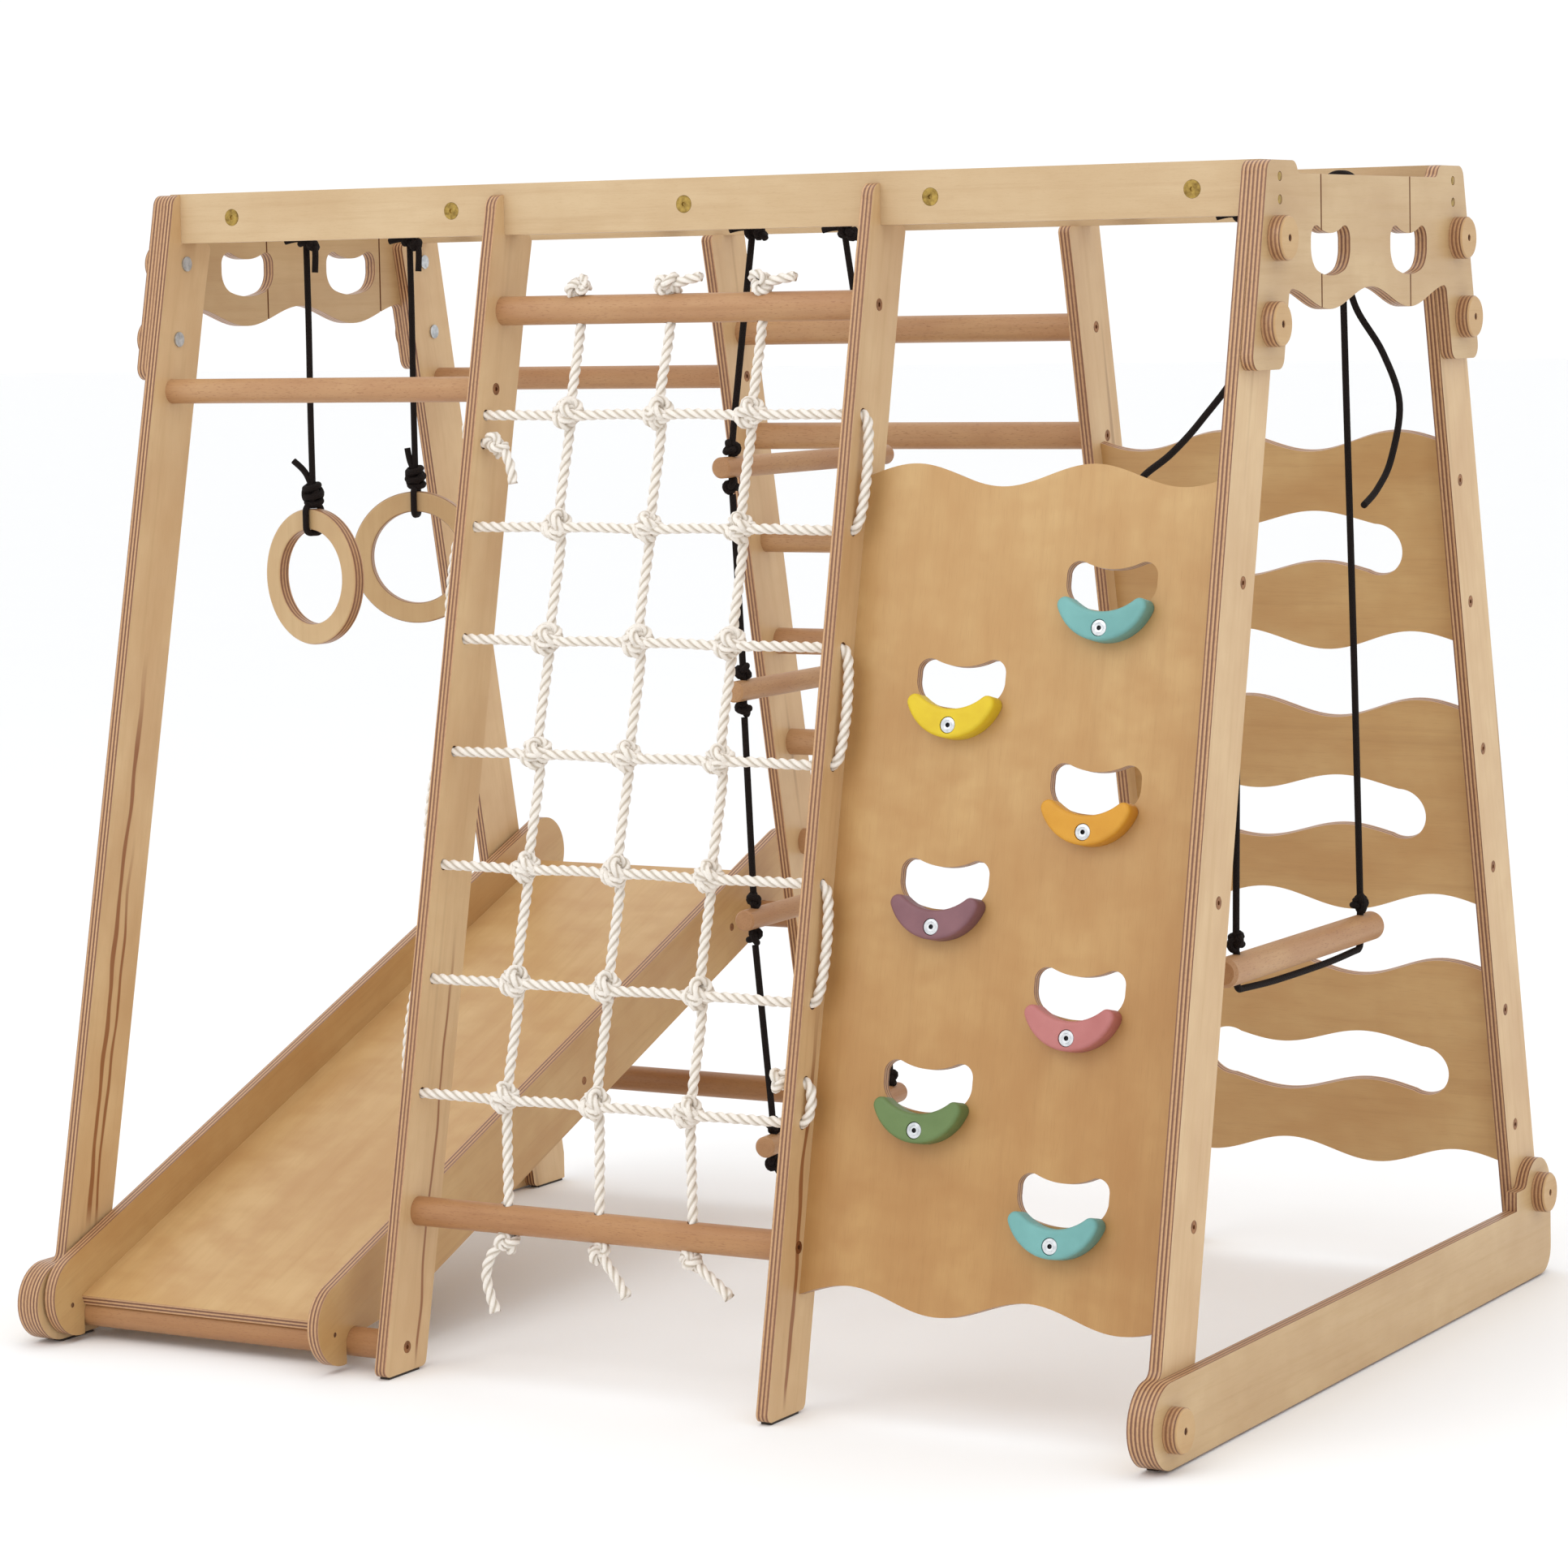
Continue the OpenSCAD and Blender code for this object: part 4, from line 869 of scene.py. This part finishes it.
def finishes():
    """The material of every CAD node that stays in view."""
    got = {}
    edge = (TOP_HALF + FRAME_H * math.tan(LEAN_FRONT) - Y_SHIFT) * math.cos(LEAN_FRONT)
    veins = {1: ((edge - 0.036, 0.02, 0.72, 0.0030), (edge - 0.050, 0.02, 0.50, 0.0018)),
             2: ((edge - 0.058, -0.1, 0.42, 0.0014),), 3: ((edge - 0.034, -0.1, 0.36, 0.0030),)}
    for i in range(1, 5):
        got[f"leg_front_{i}"] = ply(f"leg_front_ply_{i}", X_AXIS, UP_FRONT, *BIRCH, seed=i * 1.7,
                                    streaks=0.2, veins=veins.get(i, ()))
        got[f"leg_back_{i}"] = ply(f"leg_back_ply_{i}", X_AXIS, UP_BACK, *BIRCH, seed=i * 2.3 + 9,
                                   streaks=0.5)
    for i, side in enumerate(("left", "right")):
        got[f"yoke_{side}"] = ply(f"yoke_ply_{side}", X_AXIS, Y_AXIS, *BIRCH_END, seed=20 + i, streaks=0.1)
        got[f"rail_{side}"] = ply(f"rail_ply_{side}", X_AXIS, Y_AXIS, *BIRCH_END, seed=25 + i, streaks=0.1)
        got[f"slide_board_{side}"] = ply(f"slide_ply_{side}", X_AXIS, DOWN_SLIDE, *WARM, seed=30 + i)
    got["slide_bed"] = ply("slide_bed_ply", (0, -math.sin(SLIDE_SLOPE), math.cos(SLIDE_SLOPE)), DOWN_SLIDE,
                           *WARM, seed=34, streaks=0.1, figure=2.0)
    # The rock wall's foot colour is painted shade that darkens its lower part
    got["climbing_panel"] = ply("panel_ply", (0, -math.cos(LEAN_FRONT), math.sin(LEAN_FRONT)), UP_FRONT,
                                *WARM, seed=40, streaks=0.08, figure=2.0, foot="E4D0B4")
    for i, place in enumerate(("top", "middle", "bottom")):
        got[f"wavy_board_{place}"] = ply(f"wavy_ply_{place}", (0, math.cos(LEAN_BACK), math.sin(LEAN_BACK)),
                                         X_AXIS, *WARM, seed=44 + i, streaks=0.15)
    got["knobs"] = ply("knob_ply", X_AXIS, Y_AXIS, *WARM, seed=50, streaks=0.0)
    for which in ("front", "back"):
        got[f"ring_{which}"] = ply(f"ring_ply_{which}", ring_axis(which), Z_AXIS, *BIRCH_END, seed=55,
                                   streaks=0.0)
    along_x = solid_wood("beech_along_x", Z_AXIS, X_AXIS, *BEECH, seed=60)
    along_y = solid_wood("beech_along_y", Z_AXIS, Y_AXIS, *BEECH, seed=64)
    # Painted shade: beech for the low bars, a darkened copy of the high bars' beech
    along_x_painted_shade = solid_wood("beech_low_painted_shade", Z_AXIS, X_AXIS, *BEECH_PAINTED_SHADE_LOW, seed=61)
    for node in ("net_bar_top", "grab_bars", "wall_rungs"):
        got[node] = along_x
    for node in ("net_bar_bottom", "low_bar_front", "slide_back_bars"):
        got[node] = along_x_painted_shade
    for node in ("monkey_bars", "trapeze_bar", *(f"ladder_rung_{i}" for i in range(1, 5))):
        got[node] = along_y
    beam = solid_wood("beam_wood", Y_AXIS, X_AXIS, *BEAM, seed=70, flecks=0.08)
    got["beam_front"] = beam
    got["beam_back"] = beam
    steel = metal("steel", "C9CBCC", "9EA1A4", 0.28)
    brass = metal("brass", "B89A52", "7E6434", 0.34)
    bronze = metal("bronze", "A87850", "70492F", 0.40)
    got.update(knob_bolts=steel, bar_bolts=bronze, beam_bolts=brass, yoke_screws=brass,
               slide_screws=bronze, foot_pads=rubber("pad_rubber"))
    return got


# ---------------------------------------------------------------- holds
LEG4_X = 0.727
PANEL_X = (LEG3_X + LEG4_X - PLY) / 2
HOLD_LOW = 0.2068
HOLD_RISE = 0.1083
HOLD_GAP = 0.174
HOLD_T = 0.024
PANEL_T = 0.012
HOLDS = ["teal", "yellow", "orange", "mauve", "pink", "green", "teal"]
HOLD_COLOURS = {
    "teal": ("75ADAA", "689E9B"),
    "yellow": ("DEC428", "D1B220"),
    "orange": ("D69D33", "C98D28"),
    "mauve": ("865E64", "775158"),
    "pink": ("BC7976", "AE6966"),
    "green": ("6B8250", "5E7545"),
}


def hold_matrix(k):
    """From a hold's own plane, with its back at height 0, to its place on the rock wall."""
    x = PANEL_X + (HOLD_GAP / 2 if k % 2 == 0 else -HOLD_GAP / 2)
    z = HOLD_LOW + (len(HOLDS) - 1 - k) * HOLD_RISE
    foot = Vector((0, front_y(0, BOARD_OFF), 0))
    return (Matrix.Translation(foot) @ Matrix.Rotation(-LEAN_FRONT, 4, "X")
            @ Matrix.Translation((x, -PANEL_T / 2, z / math.cos(LEAN_FRONT)))
            @ Matrix.Rotation(math.pi / 2, 4, "X"))


HOLD_W = 0.107
HOLD_H = 0.048
HOLD_TIP = 0.009
HOLD_HOLLOW = 0.0155
HOLD_BELOW = 0.014
HOLD_ROUND = 0.0045
HOLD_EASE = 0.0012
RECESS_R = 0.0096
RECESS_DEEP = 0.004
RECESS_SIDES = 32


def hold_outline():
    """The crescent: a long arc below, a flatter hollow above and two round tips."""
    cx, cz = HOLD_W / 2 - HOLD_TIP, HOLD_H - HOLD_TIP
    low_r = (cx * cx + cz * cz - HOLD_TIP**2) / (2 * (cz - HOLD_TIP))
    fall = HOLD_H - HOLD_HOLLOW - cz
    top_r = (cx * cx + fall * fall - HOLD_TIP**2) / (2 * (HOLD_TIP - fall))
    low_a = math.atan2(cz - low_r, cx)
    top_a = math.atan2(fall + top_r, -cx)
    pts = []
    for centre, r, start, end, n in (
        ((0, low_r), low_r, -math.pi - low_a, low_a, 60),
        ((cx, cz), HOLD_TIP, low_a, top_a, 16),
        ((0, HOLD_H - HOLD_HOLLOW + top_r), top_r, top_a - math.pi, -top_a, 40),
        ((-cx, cz), HOLD_TIP, math.pi - top_a, math.pi - low_a, 16),
    ):
        for t in np.linspace(start, end, n, endpoint=False):
            pts.append((centre[0] + r * math.cos(t), centre[1] + r * math.sin(t) - HOLD_BELOW))
    return np.array(pts)


def inset(points, by):
    ahead = np.roll(points, -1, axis=0) - np.roll(points, 1, axis=0)
    ahead /= np.linalg.norm(ahead, axis=1)[:, None]
    return points + by * np.column_stack([-ahead[:, 1], ahead[:, 0]])


def hold_mesh(name, ks):
    """The holds of one colour: a rounded crescent with a round recess for its bolt."""
    outline = hold_outline()
    r = HOLD_ROUND
    levels = [(HOLD_EASE, 0.0), (0.0, HOLD_EASE), (0.0, HOLD_T - r)]
    levels += [(r * (1 - math.cos(a)), HOLD_T - r + r * math.sin(a))
               for a in np.linspace(0.2, math.pi / 2, 7)]
    n = len(outline)
    round_at = [TAU * i / RECESS_SIDES for i in range(RECESS_SIDES)]
    circle = [(RECESS_R * math.cos(a), RECESS_R * math.sin(a)) for a in round_at]
    top = inset(outline, levels[-1][0])
    cap = tessellate_polygon([[Vector((x, y, 0)) for x, y in loop] for loop in (top, reversed(circle))])
    bm = bmesh.new()
    for k in ks:
        place = hold_matrix(k)
        loops = [[bm.verts.new(place @ Vector((x, y, height))) for x, y in inset(outline, by)]
                 for by, height in levels]
        for low, high in zip(loops, loops[1:]):
            for i in range(n):
                bm.faces.new((low[i], low[(i + 1) % n], high[(i + 1) % n], high[i]))
        bm.faces.new(list(reversed(loops[0])))
        lip = [bm.verts.new(place @ Vector((x, y, HOLD_T))) for x, y in circle]
        low = [bm.verts.new(place @ Vector((x, y, HOLD_T - RECESS_DEEP))) for x, y in circle]
        rim = loops[-1] + lip[::-1]
        for tri in cap:
            bm.faces.new([rim[i] for i in tri])
        for i in range(RECESS_SIDES):
            j = (i + 1) % RECESS_SIDES
            bm.faces.new((lip[i], lip[j], low[j], low[i]))
        bm.faces.new(low)
    bmesh.ops.recalc_face_normals(bm, faces=bm.faces[:])
    for face in bm.faces:
        face.smooth = True
    mesh = bpy.data.meshes.new(name)
    bm.to_mesh(mesh)
    bm.free()
    thing = bpy.data.objects.new(name, mesh)
    bpy.context.scene.collection.objects.link(thing)
    crease = thing.modifiers.new("keep_edges", "EDGE_SPLIT")
    crease.split_angle = math.radians(50)
    return thing


def make_holds():
    for name, (light, deep) in HOLD_COLOURS.items():
        ks = [k for k, c in enumerate(HOLDS) if c == name]
        thing = hold_mesh(f"hold_{name}_cast", ks)
        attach(thing, "frame")
        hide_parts("holds_teal" if name == "teal" else f"hold_{name}")
        thing.data.materials.append(hold_material(f"hold_{name}", light, deep))


make_holds()


# Radius and height of the bolt head's turned outline, from its underside in to the socket's floor
BOLT_PROFILE = [(0.0090, 0.0201), (0.0090, 0.0226), (0.0086, 0.0231), (0.0058, 0.0234), (0.0054, 0.0230),
                (0.0050, 0.0234), (0.0027, 0.0232), (0.0024, 0.0212)]
BOLT_SIDES = 36


def hold_bolts():
    """The round bolt heads in the holds, with sockets painted dark: painted shade in the recess."""
    steel = metal("hold_bolt_steel", "E6E8EA", "C4C8CC", 0.26)
    # Painted shade: a dark metal for the socket's wall and floor, where shade falls in the recess
    socket = metal("hold_bolt_socket_painted_shade", "3A3A3C", "222224", 0.5)
    around = [TAU * i / BOLT_SIDES for i in range(BOLT_SIDES)]
    last = len(BOLT_PROFILE) - 1
    verts, faces, dark = [], [], []
    for k in range(len(HOLDS)):
        place = hold_matrix(k)
        base = len(verts)
        for r, h in BOLT_PROFILE:
            verts += [place @ Vector((r * math.cos(a), r * math.sin(a), h)) for a in around]
        for j in range(last):
            ring = base + j * BOLT_SIDES
            for i in range(BOLT_SIDES):
                a, b = ring + i, ring + (i + 1) % BOLT_SIDES
                faces.append((a, b, b + BOLT_SIDES, a + BOLT_SIDES))
                # The socket's wall and floor get the painted shade
                dark.append(j == last - 1)
        faces.append(tuple(base + last * BOLT_SIDES + i for i in range(BOLT_SIDES)))
        dark.append(True)
        faces.append(tuple(base + i for i in reversed(range(BOLT_SIDES))))
        dark.append(False)
    thing = new_object("hold_bolts_turned", verts, faces)
    thing.data.materials.append(steel)
    thing.data.materials.append(socket)
    thing.data.polygons.foreach_set("material_index", [int(d) for d in dark])
    crease = thing.modifiers.new("keep_edges", "EDGE_SPLIT")
    crease.split_angle = math.radians(35)
    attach(thing, "frame")
    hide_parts("hold_bolts")


hold_bolts()


# ---------------------------------------------------------------- finishing the CAD nodes
WELD_WITHIN = 0.00002


def ease_edges(node, width):
    """Slightly rounds the sharp edges of a CAD node."""
    weld = node.modifiers.new("weld", "WELD")
    weld.merge_threshold = WELD_WITHIN
    flat = node.modifiers.new("flat", "DECIMATE")
    flat.decimate_type = "DISSOLVE"
    flat.angle_limit = math.radians(0.6)
    bevel = node.modifiers.new("ease", "BEVEL")
    bevel.width = width
    bevel.segments = 2
    bevel.limit_method = "ANGLE"
    bevel.angle_limit = math.radians(45)
    bevel.harden_normals = False


EASED = {"leg": 0.0016, "yoke": 0.0016, "rail": 0.0016, "beam_front": 0.002, "beam_back": 0.002,
         "slide_board": 0.0016, "climbing_panel": 0.0014, "wavy": 0.0014}


def finish_nodes():
    for name, material in finishes().items():
        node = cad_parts[name]
        if not node.material_slots:
            node.data.materials.append(material)
        for place in node.material_slots:
            place.material = material
        for start, width in EASED.items():
            if name.startswith(start):
                ease_edges(node, width)


finish_nodes()
# Each rope's second colour is the painted shade in its grooves
WHITE = rope_material("white_rope", "F1EBE3", "B5A794", "D8CFC0", 0.45, braid=False)
DARK = rope_material("black_cord", "1C1412", "0A0605", "261C18", 0.6, braid=True)
for thing in NET:
    thing.data.materials.append(WHITE)
for thing in BLACK:
    thing.data.materials.append(DARK)


# ---------------------------------------------------------------- floor and light
FLOOR_HALF = 60.0
SKY_STRENGTH = 1.04
# Name, place, aim, size and power
LIGHTS = [("key", (-0.6, -3.6, 3.6), (0, 0, 0.6), (3.0, 2.0), 34),
          ("top", (0.4, 0.2, 4.2), (0, 0, 0), (4.0, 4.0), 26)]


def make_floor():
    corners = [(x * FLOOR_HALF, y * FLOOR_HALF, 0) for x, y in ((-1, -1), (1, -1), (1, 1), (-1, 1))]
    floor = new_object("floor", corners, [(0, 1, 2, 3)], smooth=False)
    m = Nodes("floor_paint")
    fine = m.noise(m.make("ShaderNodeTexCoord").outputs["Object"], 2.0, 2.0)
    m.set(Base_Color=m.mix(fine, (0.940, 0.948, 0.956, 1), (0.950, 0.958, 0.966, 1)), Roughness=0.8,
          Specular_IOR_Level=0.2)
    floor.data.materials.append(m.material)


def area_light(name, at, toward, size, power):
    data = bpy.data.lights.new(name, "AREA")
    data.shape = "RECTANGLE"
    data.size, data.size_y = size
    data.energy = power
    light = bpy.data.objects.new(name, data)
    light.location = at
    light.rotation_euler = (Vector(toward) - Vector(at)).to_track_quat("-Z", "Y").to_euler()
    bpy.context.scene.collection.objects.link(light)


def make_light():
    world = bpy.data.worlds.new("studio")
    world.use_nodes = True
    back = world.node_tree.nodes["Background"]
    back.inputs["Color"].default_value = (1, 1, 1, 1)
    back.inputs["Strength"].default_value = SKY_STRENGTH
    bpy.context.scene.world = world
    for light in LIGHTS:
        area_light(*light)
    bpy.context.scene.view_settings.view_transform = "Standard"
    bpy.context.scene.view_settings.look = "None"


make_floor()
make_light()
